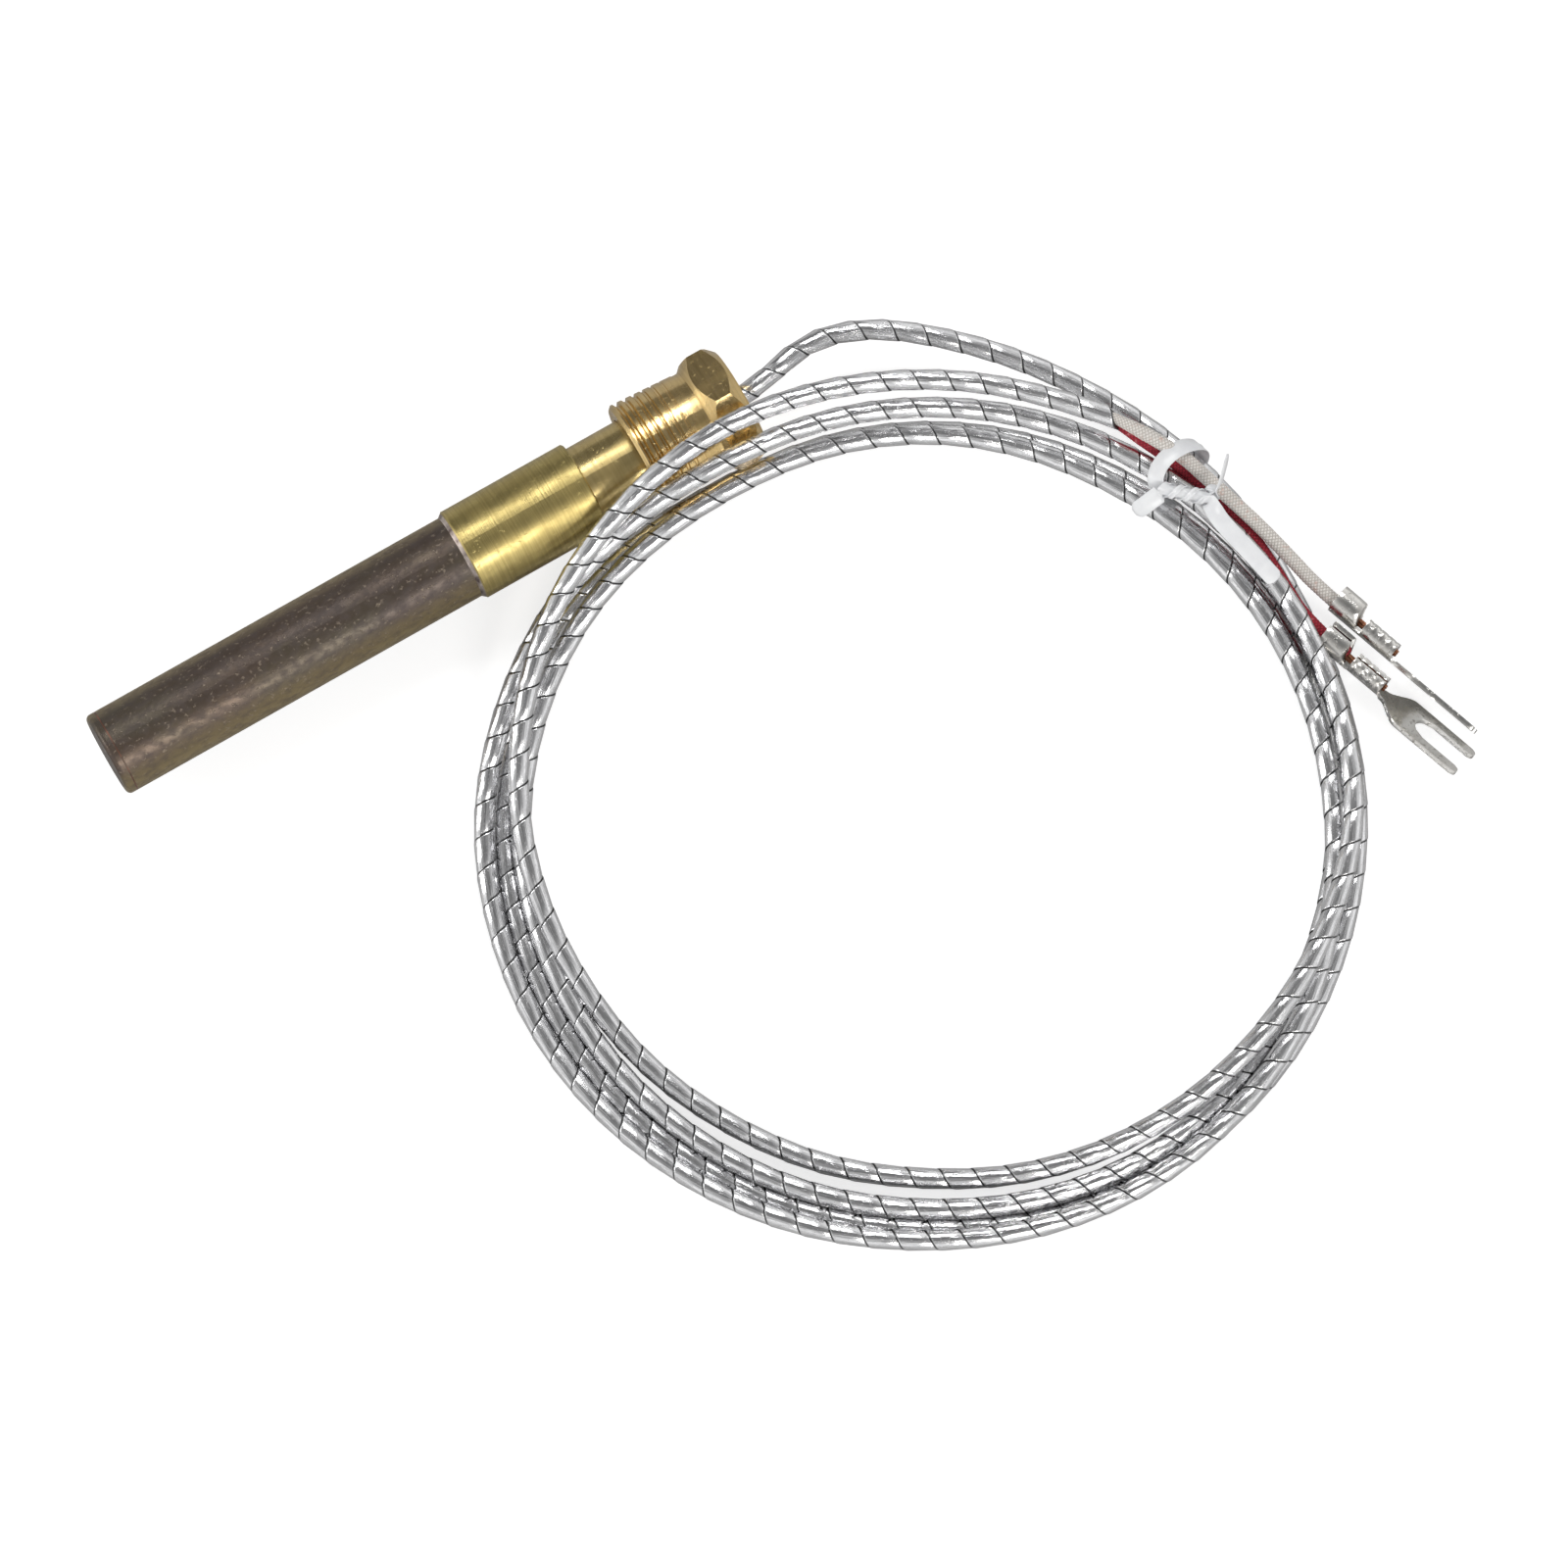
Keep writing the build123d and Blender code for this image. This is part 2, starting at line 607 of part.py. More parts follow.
# Plastic tie round the lead, the wires and one turn of the coil, with its twisted tails
TIE_CENTRE_RADIUS = 44.4
TIE_FACING = 20.0
TIE_LOOP = (
    (-3.2, 4.2),
    (-1.0, 1.4),
    (1.8, 0.1),
    (3.9, 1.7),
    (3.7, 5.0),
    (2.0, 8.2),
    (-0.8, 9.5),
    (-3.0, 7.8),
)
TIE_MIDDLE = (0.4, 4.9)
tie_turn = radians(TIE_FACING)


def inward(point):
    """The point one thickness of the strap nearer to the middle of the loop."""
    out = (point[0] - TIE_MIDDLE[0], point[1] - TIE_MIDDLE[1])
    share = 1 - TIE_THICKNESS / hypot(*out)
    return (TIE_MIDDLE[0] + out[0] * share, TIE_MIDDLE[1] + out[1] * share)


tie_plane = Plane(
    origin=(
        COIL_CENTRE[0] + TIE_CENTRE_RADIUS * cos(tie_turn),
        COIL_CENTRE[1] + TIE_CENTRE_RADIUS * sin(tie_turn),
        0,
    ),
    x_dir=(cos(tie_turn), sin(tie_turn), 0),
    z_dir=(sin(tie_turn), -cos(tie_turn), 0),
)
with BuildPart() as tie_strap:
    with BuildSketch(tie_plane.offset(-TIE_WIDTH / 2)):
        with BuildLine():
            Spline(*TIE_LOOP, periodic=True)
        make_face()
        with BuildLine():
            Spline(*[inward(point) for point in TIE_LOOP], periodic=True)
        make_face(mode=Mode.SUBTRACT)
    extrude(amount=TIE_WIDTH)
    with Locations(tie_plane * Location((-2.6, 8.6, 3.4))):
        Box(*TIE_KNOT)
    with Locations(tie_plane * Location((-1.4, 8.9, 9.0))):
        Box(*TIE_TAIL)
save("tie_strap", tie_strap)
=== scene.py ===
import bmesh
import bpy
from math import cos, pi, radians, sin, sqrt
from mathutils import Matrix, Vector


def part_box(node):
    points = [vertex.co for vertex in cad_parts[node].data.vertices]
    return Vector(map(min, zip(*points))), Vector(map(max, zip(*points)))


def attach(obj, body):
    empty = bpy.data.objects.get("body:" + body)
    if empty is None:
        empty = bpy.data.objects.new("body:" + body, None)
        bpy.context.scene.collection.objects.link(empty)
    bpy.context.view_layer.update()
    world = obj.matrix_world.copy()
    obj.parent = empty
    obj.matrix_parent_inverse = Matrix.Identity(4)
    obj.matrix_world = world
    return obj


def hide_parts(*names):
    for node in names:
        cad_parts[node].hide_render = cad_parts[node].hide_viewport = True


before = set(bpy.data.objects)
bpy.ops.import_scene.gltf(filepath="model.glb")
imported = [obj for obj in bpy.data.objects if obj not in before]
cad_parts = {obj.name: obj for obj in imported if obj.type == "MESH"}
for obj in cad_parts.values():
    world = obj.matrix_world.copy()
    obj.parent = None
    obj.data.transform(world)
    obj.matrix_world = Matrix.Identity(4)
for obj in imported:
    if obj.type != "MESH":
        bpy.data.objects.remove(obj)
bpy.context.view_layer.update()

# The bench and the light: a pale sweep under the part, a broad soft box high behind it
# and a smaller one each side, so that round metal shows a bright band and a darker edge.
MM = 0.001
AXIS_HEIGHT = sum(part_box("attachment_nut")[k][2] for k in range(2)) / 2
LOOK_AT = Vector((21.1 * MM, -37.1 * MM, AXIS_HEIGHT))
PICTURE_TURN = radians(30)
CAMERA_RISE = radians(79)
CAMERA_DISTANCE = 1.2
VIEW_WIDTH = 0.160
SENSOR = 36.0
RIGHT = Vector((cos(PICTURE_TURN), -sin(PICTURE_TURN), 0))
AWAY = Vector((sin(PICTURE_TURN), cos(PICTURE_TURN), 0))
UP = Vector((0, 0, 1))


def add_node(tree, kind, inputs=(), **settings):
    """A node with its settings and its unlinked sockets filled in."""
    new = tree.nodes.new(kind)
    for key, value in settings.items():
        setattr(new, key, value)
    for key, value in dict(inputs).items():
        new.inputs[key].default_value = value
    return new


def new_material(name):
    """A material, its tree and its surface shader."""
    made = bpy.data.materials.new(name)
    made.use_nodes = True
    return made, made.node_tree, made.node_tree.nodes["Principled BSDF"]


def put_lamp(name, place, size, power, tint):
    """A square lamp that faces the part."""
    lamp = bpy.data.lights.new(name, "AREA")
    lamp.shape = "RECTANGLE"
    lamp.size, lamp.size_y = size
    lamp.energy = power
    lamp.color = tint
    holder = bpy.data.objects.new(name, lamp)
    holder.location = LOOK_AT + place
    facing = (-place).to_track_quat("-Z", "Y")
    holder.rotation_euler = facing.to_euler()
    bpy.context.collection.objects.link(holder)


camera_data = bpy.data.cameras.new("camera")
camera_data.sensor_width = SENSOR
camera_data.lens = SENSOR * CAMERA_DISTANCE / VIEW_WIDTH
camera_data.clip_start = 0.01
camera = bpy.data.objects.new("camera", camera_data)
back = UP * sin(CAMERA_RISE) - AWAY * cos(CAMERA_RISE)
turn = Matrix((RIGHT, back.cross(RIGHT), back)).transposed()
camera.matrix_world = Matrix.Translation(LOOK_AT + back * CAMERA_DISTANCE) @ turn.to_4x4()
bpy.context.collection.objects.link(camera)
bpy.context.scene.camera = camera
bpy.context.scene.view_settings.view_transform = "Standard"

FLOOR_SIZE = 3.0
FLOOR_GLOW = 0.72
ROOM_SHADES = ((0.0, 1.0), (0.35, 0.95), (0.62, 0.66), (0.86, 0.34), (1.0, 0.16))
bpy.ops.object.select_all(action="DESELECT")
bpy.ops.mesh.primitive_plane_add(size=FLOOR_SIZE, location=(LOOK_AT.x, LOOK_AT.y, -0.00002))
floor_sheet = bpy.context.object
floor_sheet.name = "floor"
floor_material, floor_tree, floor_shader = new_material("floor")
floor_shader.inputs["Base Color"].default_value = (0.5, 0.5, 0.5, 1)
floor_shader.inputs["Roughness"].default_value = 0.9
floor_shader.inputs["Emission Color"].default_value = (1, 1, 1, 1)
seen = floor_tree.nodes.new("ShaderNodeLightPath")
glow = add_node(floor_tree, "ShaderNodeMath", {1: FLOOR_GLOW}, operation="MULTIPLY")
floor_tree.links.new(seen.outputs["Is Camera Ray"], glow.inputs[0])
floor_tree.links.new(glow.outputs[0], floor_shader.inputs["Emission Strength"])
floor_sheet.data.materials.append(floor_material)

# The room: bright walls at bench height, darker towards the ceiling
world = bpy.data.worlds.new("studio")
bpy.context.scene.world = world
world.use_nodes = True
sky = world.node_tree
around = sky.nodes.new("ShaderNodeTexCoord")
height = sky.nodes.new("ShaderNodeSeparateXYZ")
shade = sky.nodes.new("ShaderNodeValToRGB")
sky.links.new(around.outputs["Generated"], height.inputs[0])
sky.links.new(height.outputs["Z"], shade.inputs["Fac"])
sky.links.new(shade.outputs["Color"], sky.nodes["Background"].inputs["Color"])
for spare in ROOM_SHADES[2:]:
    shade.color_ramp.elements.new(spare[0])
for stop, (rise, grey) in zip(shade.color_ramp.elements, sorted(ROOM_SHADES)):
    stop.position = rise
    stop.color = (grey, grey, grey, 1)
# The far wall holds a dark cloth low down, so that flats turned that way go dark
CLOTH_WAY = (0.10, 0.93, 0.35)
CLOTH_EDGE = (0.86, 0.95)
CLOTH_SHADE = 0.18
cloth_turn = add_node(sky, "ShaderNodeVectorMath", {1: CLOTH_WAY}, operation="DOT_PRODUCT")
cloth = add_node(
    sky,
    "ShaderNodeMapRange",
    {"From Min": CLOTH_EDGE[0], "From Max": CLOTH_EDGE[1], "To Min": 1.0, "To Max": CLOTH_SHADE},
)
sky.links.new(around.outputs["Generated"], cloth_turn.inputs[0])
sky.links.new(cloth_turn.outputs["Value"], cloth.inputs["Value"])
sky.links.new(cloth.outputs[0], sky.nodes["Background"].inputs["Strength"])
put_lamp("far_box", AWAY * 0.57 + UP * 0.82, (0.5, 0.16), 2.6, (1, 1, 1))
put_lamp("near_box", RIGHT * 0.37 - AWAY * 0.64 + UP * 0.67, (0.5, 0.16), 2.8, (1, 0.98, 0.95))
put_lamp("left_box", -RIGHT * 0.9 + UP * 0.35, (0.2, 0.5), 2.0, (1, 1, 1))

# Finishes are built from one kind of grain: noise drawn out along the piece, round it, or
# left even, and cut to a mask that says where one colour or gloss gives way to another.
grain_group = bpy.data.node_groups.new("grain", "ShaderNodeTree")
grain_group.interface.new_socket("Stretch", in_out="INPUT", socket_type="NodeSocketVector")
grain_group.interface.new_socket("Low", in_out="INPUT", socket_type="NodeSocketFloat")
grain_group.interface.new_socket("High", in_out="INPUT", socket_type="NodeSocketFloat")
grain_group.interface.new_socket("Mask", in_out="OUTPUT", socket_type="NodeSocketFloat")
grain_in = grain_group.nodes.new("NodeGroupInput")
grain_out = grain_group.nodes.new("NodeGroupOutput")
grain_place = grain_group.nodes.new("ShaderNodeTexCoord")
grain_scale = add_node(grain_group, "ShaderNodeVectorMath", operation="MULTIPLY")
grain_noise = add_node(grain_group, "ShaderNodeTexNoise", {"Scale": 1.0, "Detail": 5.0})
grain_cut = grain_group.nodes.new("ShaderNodeMapRange")
grain_group.links.new(grain_place.outputs["Object"], grain_scale.inputs[0])
grain_group.links.new(grain_in.outputs["Stretch"], grain_scale.inputs[1])
grain_group.links.new(grain_scale.outputs[0], grain_noise.inputs["Vector"])
grain_group.links.new(grain_noise.outputs[0], grain_cut.inputs["Value"])
grain_group.links.new(grain_in.outputs["Low"], grain_cut.inputs["From Min"])
grain_group.links.new(grain_in.outputs["High"], grain_cut.inputs["From Max"])
grain_group.links.new(grain_cut.outputs[0], grain_out.inputs["Mask"])


def grain(tree, stretch, low, high):
    """A mask from the grain, in waves a metre along X, Y and Z."""
    used = tree.nodes.new("ShaderNodeGroup")
    used.node_tree = grain_group
    used.inputs["Stretch"].default_value = stretch
    used.inputs["Low"].default_value = low
    used.inputs["High"].default_value = high
    return used.outputs["Mask"]


def mix_colours(tree, mask, low, high):
    """One colour where the mask is 0 and another where it is 1."""
    mixer = add_node(tree, "ShaderNodeMix", data_type="RGBA")
    tree.links.new(mask, mixer.inputs["Factor"])
    for slot_name, colour in (("A", low), ("B", high)):
        socket = [i for i in mixer.inputs if i.name == slot_name and i.type == "RGBA"][0]
        if isinstance(colour, tuple):
            socket.default_value = (*colour, 1)
        else:
            tree.links.new(colour, socket)
    return [o for o in mixer.outputs if o.type == "RGBA"][0]


def between(tree, mask, low, high):
    """A number that goes from low to high as the mask goes from 0 to 1."""
    ranger = add_node(tree, "ShaderNodeMapRange", {"To Min": low, "To Max": high})
    tree.links.new(mask, ranger.inputs["Value"])
    return ranger.outputs[0]


def raise_grain(tree, shader, mask, height_mm, strength=1.0):
    """Relief from a mask, added to whatever relief the shader already has."""
    bump = add_node(tree, "ShaderNodeBump", {"Strength": strength, "Distance": height_mm * MM})
    tree.links.new(mask, bump.inputs["Height"])
    if shader.inputs["Normal"].is_linked:
        tree.links.new(shader.inputs["Normal"].links[0].from_socket, bump.inputs["Normal"])
    tree.links.new(bump.outputs[0], shader.inputs["Normal"])


def finish_node(node_names, material):
    """Give CAD pieces a material."""
    for node_name in node_names:
        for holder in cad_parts[node_name].material_slots:
            holder.material = material


def dull_finish(name, dark, light, metallic, roughness, stretch):
    """A plain unpolished finish: two colours that the grain mixes, and its gloss with them."""
    made, tree, shader = new_material(name)
    mask = grain(tree, stretch, 0.35, 0.65)
    tree.links.new(mix_colours(tree, mask, dark, light), shader.inputs["Base Color"])
    shader.inputs["Metallic"].default_value = metallic
    tree.links.new(between(tree, mask, roughness, roughness + 0.15), shader.inputs["Roughness"])
    raise_grain(tree, shader, mask, 0.01)
    return made


# The thermopile: twelve pairs of alloy strips stand round a ceramic core in a mica liner,
# welded in pairs at the hot end and from pair to pair at the cold end.
EVEN = (900.0, 900.0, 900.0)
ROLLED = (150.0, 3000.0, 3000.0)
mica = dull_finish("mica", (0.42, 0.36, 0.25), (0.66, 0.60, 0.46), 0.0, 0.35, EVEN)
ceramic = dull_finish("ceramic", (0.68, 0.64, 0.57), (0.84, 0.81, 0.75), 0.0, 0.75, EVEN)
positive_alloy = dull_finish(
    "positive_alloy", (0.16, 0.14, 0.13), (0.28, 0.25, 0.23), 1.0, 0.4, ROLLED
)
negative_alloy = dull_finish(
    "negative_alloy", (0.40, 0.38, 0.35), (0.58, 0.55, 0.52), 1.0, 0.32, ROLLED
)
weld = dull_finish("weld", (0.22, 0.20, 0.19), (0.52, 0.49, 0.46), 1.0, 0.45, EVEN)
finish_node(("tip_insulator", "mica_liner"), mica)
finish_node(("ceramic_core", "cold_end_disc"), ceramic)
finish_node(("positive_strips",), positive_alloy)
finish_node(("negative_strips", "output_pins"), negative_alloy)
finish_node(("hot_junctions", "cold_junctions"), weld)

# The leads inside the neck: crimped sleeves on the pins, two insulated wires, a plug of
# cement and a turned ferrule that holds the armour.
cement = dull_finish("cement", (0.50, 0.47, 0.42), (0.72, 0.69, 0.63), 0.0, 0.85, EVEN)
crimped_nickel = dull_finish(
    "crimped_nickel", (0.45, 0.43, 0.40), (0.68, 0.66, 0.62), 1.0, 0.25, EVEN
)
inner_white = dull_finish(
    "inner_white_sleeve", (0.62, 0.58, 0.52), (0.82, 0.79, 0.74), 0.0, 0.8, EVEN
)
inner_red = dull_finish(
    "inner_red_sleeve", (0.24, 0.012, 0.02), (0.42, 0.03, 0.045), 0.0, 0.7, EVEN
)
finish_node(("sealing_cement",), cement)
finish_node(("splice_sleeves", "lead_ferrule"), crimped_nickel)
finish_node(("inner_white_wire",), inner_white)
finish_node(("inner_red_wire",), inner_red)

# The hot end: a drawn steel tube with a pressed cap brazed in. Heat has stained it brown,
# with olive and purplish patches, streaks along the tube and pale specks.
stained_steel, tree, shader = new_material("stained_steel")
streaks = grain(tree, (40.0, 260.0, 260.0), 0.36, 0.64)
patches = grain(tree, (110.0, 260.0, 260.0), 0.46, 0.62)
fine_stains = grain(tree, (900.0, 1500.0, 1500.0), 0.42, 0.66)
specks = grain(tree, (2200.0, 2600.0, 2600.0), 0.60, 0.70)
colour = mix_colours(tree, streaks, (0.085, 0.066, 0.056), (0.125, 0.090, 0.066))
colour = mix_colours(tree, between(tree, patches, 0.0, 0.35), colour, (0.120, 0.108, 0.070))
# Both flanks of the tube, left and right of its axis, are painted a lighter olive: a painted
# reflection of the bright room along its round edges, not a heat stain.
round_tube = tree.nodes.new("ShaderNodeTexCoord")
to_side = tree.nodes.new("ShaderNodeSeparateXYZ")
off_middle = add_node(tree, "ShaderNodeMath", operation="ABSOLUTE")
painted_side_sheen = add_node(tree, "ShaderNodeMapRange", {"From Min": 2.9 * MM, "From Max": 4.3 * MM})
tree.links.new(round_tube.outputs["Object"], to_side.inputs[0])
tree.links.new(to_side.outputs["Y"], off_middle.inputs[0])
tree.links.new(off_middle.outputs[0], painted_side_sheen.inputs["Value"])
colour = mix_colours(tree, painted_side_sheen.outputs[0], colour, (0.26, 0.20, 0.10))
colour = mix_colours(tree, between(tree, fine_stains, 0.0, 0.45), colour, (0.080, 0.064, 0.062))
colour = mix_colours(tree, between(tree, specks, 0.0, 0.6), colour, (0.30, 0.24, 0.18))
tree.links.new(colour, shader.inputs["Base Color"])
shader.inputs["Metallic"].default_value = 0.6
tree.links.new(between(tree, fine_stains, 0.36, 0.52), shader.inputs["Roughness"])
raise_grain(tree, shader, fine_stains, 0.012)
raise_grain(tree, shader, specks, 0.02)
finish_node(("end_cap", "hot_end_tube"), stained_steel)

# The cap is held by a thin ring of braze, run into its joint with the tube. It shows as a
# hair line of copper under the stain where the two meet.
braze, tree, shader = new_material("stained_braze")
burnt = grain(tree, (900.0, 420.0, 420.0), 0.42, 0.58)
colour = mix_colours(tree, burnt, (0.34, 0.15, 0.10), (0.10, 0.07, 0.055))
tree.links.new(colour, shader.inputs["Base Color"])
shader.inputs["Metallic"].default_value = 0.85
tree.links.new(between(tree, burnt, 0.25, 0.5), shader.inputs["Roughness"])
finish_node(("cap_braze",), braze)

# Solder joins the tube to the sleeve. It fills the step where the tube goes in, and its edge
# shows as a thin, uneven pale line.
solder = dull_finish(
    "solder", (0.12, 0.09, 0.08), (0.60, 0.52, 0.47), 0.9, 0.35, (1200.0, 700.0, 700.0)
)
finish_node(("solder_ring",), solder)


def turned_brass(name, bright, tarnish, mark_waves, roughness, dents):
    """Brass with fine tool marks round its axis, tarnish in patches and small dents."""
    made, tree, shader = new_material(name)
    marks = grain(tree, (mark_waves, 90.0, 90.0), 0.40, 0.60)
    patches = grain(tree, (260.0, 330.0, 330.0), 0.44, 0.68)
    knocks = grain(tree, (1500.0, 1900.0, 1900.0), 0.64, 0.70)
    colour = mix_colours(tree, between(tree, patches, 0.0, 0.4), bright, tarnish)
    colour = mix_colours(tree, between(tree, marks, 0.0, 0.35), colour, tarnish)
    colour = mix_colours(tree, between(tree, knocks, 0.0, dents), colour, bright)
    tree.links.new(colour, shader.inputs["Base Color"])
    shader.inputs["Metallic"].default_value = 1.0
    tree.links.new(between(tree, patches, roughness, roughness + 0.12), shader.inputs["Roughness"])
    raise_grain(tree, shader, marks, 0.006)
    raise_grain(tree, shader, knocks, 0.012)
    return made


# The sleeve is a length of brass tube, soldered over the cold end of the hot tube. It is
# brushed round with emery and has gone olive with handling.
sleeve_brass = turned_brass(
    "sleeve_brass", (0.56, 0.45, 0.18), (0.30, 0.225, 0.08), 5200.0, 0.32, 0.9
)
finish_node(("brass_sleeve",), sleeve_brass)

# The neck is a drawn brass cup behind the sleeve, and it carries the nut. It is smoother
# and a little paler than the sleeve.
neck_brass = turned_brass("neck_brass", (0.66, 0.52, 0.24), (0.42, 0.31, 0.12), 2600.0, 0.25, 0.4)
finish_node(("neck_tube",), neck_brass)

# The attachment nut is turned from hexagon brass bar and runs free on the neck. Its cut
# threads are bright, and its flats are left as they were drawn.
nut_brass = turned_brass("nut_brass", (0.78, 0.58, 0.28), (0.48, 0.34, 0.13), 3400.0, 0.20, 0.6)
finish_node(("attachment_nut",), nut_brass)

# The armoured lead: a bright steel strip wound round the two wires. It leaves the nut,
# swings over to the table and lies there in four loose turns that lean on the brass.
ARMOUR_RADIUS = 1.1 * MM
WANTED_PITCH = 3.45 * MM
LEAD_ROUTE = (
    (32.15, 0, 6.92),
    (39.2, 0, 6.92),
    (46.0, 2.1, 6.7),
    (52.4, 0.4, 6.0),
    (58.2, -3.7, 5.0),
    (63.8, -9.0, 3.9),
    (68.6, -15.1, 2.8),
    (72.6, -22.0, 2.2),
    (75.4, -29.3, 1.8),
    (76.9, -36.4, 1.3),
)
COIL_CENTRE = (32.1, -46.1)
COIL_STEP = 30.0
# Twelve stations a turn, clockwise seen from above. Each pair is the strand's distance from
# the middle of the coil and its height above the table, in millimetres.
COIL_STATIONS = (
    # lowest turn: it lies on the table, and tucks in beside the nut
    (44.4, 1.15), (44.8, 1.15), (44.8, 1.15), (43.9, 1.15), (42.6, 1.15), (42.6, 1.15),
    (42.7, 1.15), (42.8, 1.15), (42.0, 1.15), (39.8, 1.2), (40.5, 1.15), (41.0, 1.15),
    # second turn: it climbs against the nut
    (42.0, 1.15), (42.6, 1.15), (42.6, 1.15), (42.2, 2.6), (40.8, 2.4), (40.7, 2.3),
    (40.8, 2.2), (41.0, 2.6), (40.1, 5.0), (37.9, 9.6), (38.8, 7.4), (39.4, 4.6),
    # third turn: the outermost one at the far side
    (41.0, 3.3), (42.2, 3.3), (44.3, 3.1), (44.7, 3.2), (44.1, 2.8), (44.4, 2.5),
    (44.9, 1.5), (44.8, 2.2), (42.8, 7.5), (39.9, 13.2), (40.9, 10.4), (42.4, 7.0),
    # last turn: it crosses over the others and ends on top of the nut's side
    (43.6, 4.4), (44.4, 5.2), (42.0, 5.2), (39.6, 3.0), (37.4, 1.15), (37.3, 1.15),
    (38.7, 2.2), (41.1, 4.9), (42.7, 9.8), (42.8, 15.4), (43.3, 12.6), (44.3, 9.8),
)
STEPS_PER_STATION = 2
ARMOUR_END = 46.9
# The smooth line cuts inside its control points, so they stand a little further out
SPREAD = 1 / cos(radians(COIL_STEP / STEPS_PER_STATION / 2))


def coil_point(place):
    """The control point of the coil so many stations after its start, in millimetres."""
    before = min(int(place), len(COIL_STATIONS) - 2)
    share = place - before
    low, high = COIL_STATIONS[before], COIL_STATIONS[before + 1]
    radius = (low[0] + (high[0] - low[0]) * share) * SPREAD
    angle = radians(-place * COIL_STEP)
    height = low[1] + (high[1] - low[1]) * share
    return (COIL_CENTRE[0] + radius * cos(angle), COIL_CENTRE[1] + radius * sin(angle), height)


coil_steps = int(ARMOUR_END * STEPS_PER_STATION)
coil_route = [coil_point(step / STEPS_PER_STATION) for step in range(coil_steps + 1)]
armour_route = list(LEAD_ROUTE) + coil_route + [coil_point(ARMOUR_END)]


def spline_points(name, route, resolution):
    """Points along the smooth line that a route's points control, in metres."""
    curve = bpy.data.curves.new(name + "_line", "CURVE")
    curve.dimensions = "3D"
    curve.resolution_u = resolution
    spline = curve.splines.new("NURBS")
    spline.points.add(len(route) - 1)
    for point, place in zip(spline.points, route):
        point.co = (*(Vector(place) * MM), 1)
    spline.order_u = 3
    spline.use_endpoint_u = True
    holder = bpy.data.objects.new(name + "_line", curve)
    line = bpy.data.meshes.new_from_object(holder)
    points = [vertex.co.copy() for vertex in line.vertices]
    bpy.data.objects.remove(holder)
    bpy.data.curves.remove(curve)
    bpy.data.meshes.remove(line)
    return points


class Track:
    """A smooth line with a frame that doesn't twist, read at any distance along it."""

    def __init__(self, points):
        self.points = points
        self.reach = [0.0]
        for one, two in zip(points, points[1:]):
            self.reach.append(self.reach[-1] + (two - one).length)
        self.sides = []
        side = (points[1] - points[0]).cross(UP).normalized()
        for k in range(len(points)):
            ahead = self.heading(k)
            side = (side - ahead * side.dot(ahead)).normalized()
            self.sides.append(side)
        self.length = self.reach[-1]
        self.cursor = 0

    def heading(self, k):
        """Direction of travel at a point of the line."""
        low, high = max(k - 1, 0), min(k + 1, len(self.points) - 1)
        return (self.points[high] - self.points[low]).normalized()

    def at(self, distance):
        """Centre, side and up vectors this far along."""
        distance = min(max(distance, 0.0), self.length)
        low, high = 0, len(self.reach) - 1
        while high - low > 1:
            middle = (low + high) // 2
            if self.reach[middle] <= distance:
                low = middle
            else:
                high = middle
        share = (distance - self.reach[low]) / (self.reach[high] - self.reach[low])
        centre = self.points[low].lerp(self.points[high], share)
        side = self.sides[low].lerp(self.sides[high], share).normalized()
        ahead = self.heading(low).lerp(self.heading(high), share).normalized()
        return centre, side, side.cross(ahead).normalized()


# Each wind of the strip lies over the edge of the one before. The numbers are how far
# across the wind a line of the section is, and how deep it lies.
STRIP_SECTION = ((0.0, 0.15), (0.05, 0.06), (0.45, 0.03), (0.93, 0.0), (0.985, 0.02))
SEAM_STEP = 0.015
SIDES = 24
armour_line = Track(spline_points("armour", armour_route, 6))
winds = int(armour_line.length / WANTED_PITCH)
STRIP_PITCH = armour_line.length / (winds + 1)
armour_rows = []
for n in range(winds * SIDES + 1):
    angle = 2 * pi * (n % SIDES) / SIDES
    row = []
    edges = [armour_line.at((n / SIDES + part) * STRIP_PITCH) for part in (0, 1)]
    for part, depth in STRIP_SECTION:
        radius = ARMOUR_RADIUS - depth * MM
        ends = [c + (s * cos(angle) - u * sin(angle)) * radius for c, s, u in edges]
        row.append(ends[0].lerp(ends[1], part))
    armour_rows.append(row)
lines = len(STRIP_SECTION)
last_row = winds * SIDES
armour_faces = []
armour_marks = []


def strip_mark(n, k, way_round):
    """Winds along the lead and turns round it, for a corner of the strip."""
    return ((n - n % SIDES) / SIDES + way_round + STRIP_SECTION[k][0], way_round)


for n in range(last_row):
    here, beyond = (n % SIDES) / SIDES, (n % SIDES + 1) / SIDES
    for k in range(lines - 1):
        first, second = n * lines + k, (n + 1) * lines + k
        armour_faces.append((first, first + 1, second + 1, second))
        corners = ((n, k, here), (n, k + 1, here), (n, k + 1, beyond), (n, k, beyond))
        armour_marks += [strip_mark(*corner) for corner in corners]
    if n + SIDES < last_row:
        low, high = n * lines + lines - 1, (n + SIDES) * lines
        armour_faces.append((low, high, high + lines, low + lines))
        under, over = strip_mark(n, lines - 1, here), strip_mark(n, lines - 1, beyond)
        armour_marks += [under, (under[0] + SEAM_STEP, here), (over[0] + SEAM_STEP, beyond), over]


def mesh_piece(name, vertices, faces, marks=None):
    """A smooth mesh object, with an unwrapping named along if marks are given."""
    mesh = bpy.data.meshes.new(name)
    mesh.from_pydata(vertices, [], faces)
    if marks:
        layer = mesh.uv_layers.new(name="along")
        for loop, mark in zip(layer.data, marks):
            loop.uv = mark
    mesh.polygons.foreach_set("use_smooth", [True] * len(mesh.polygons))
    made = bpy.data.objects.new(name, mesh)
    bpy.context.collection.objects.link(made)
    return made


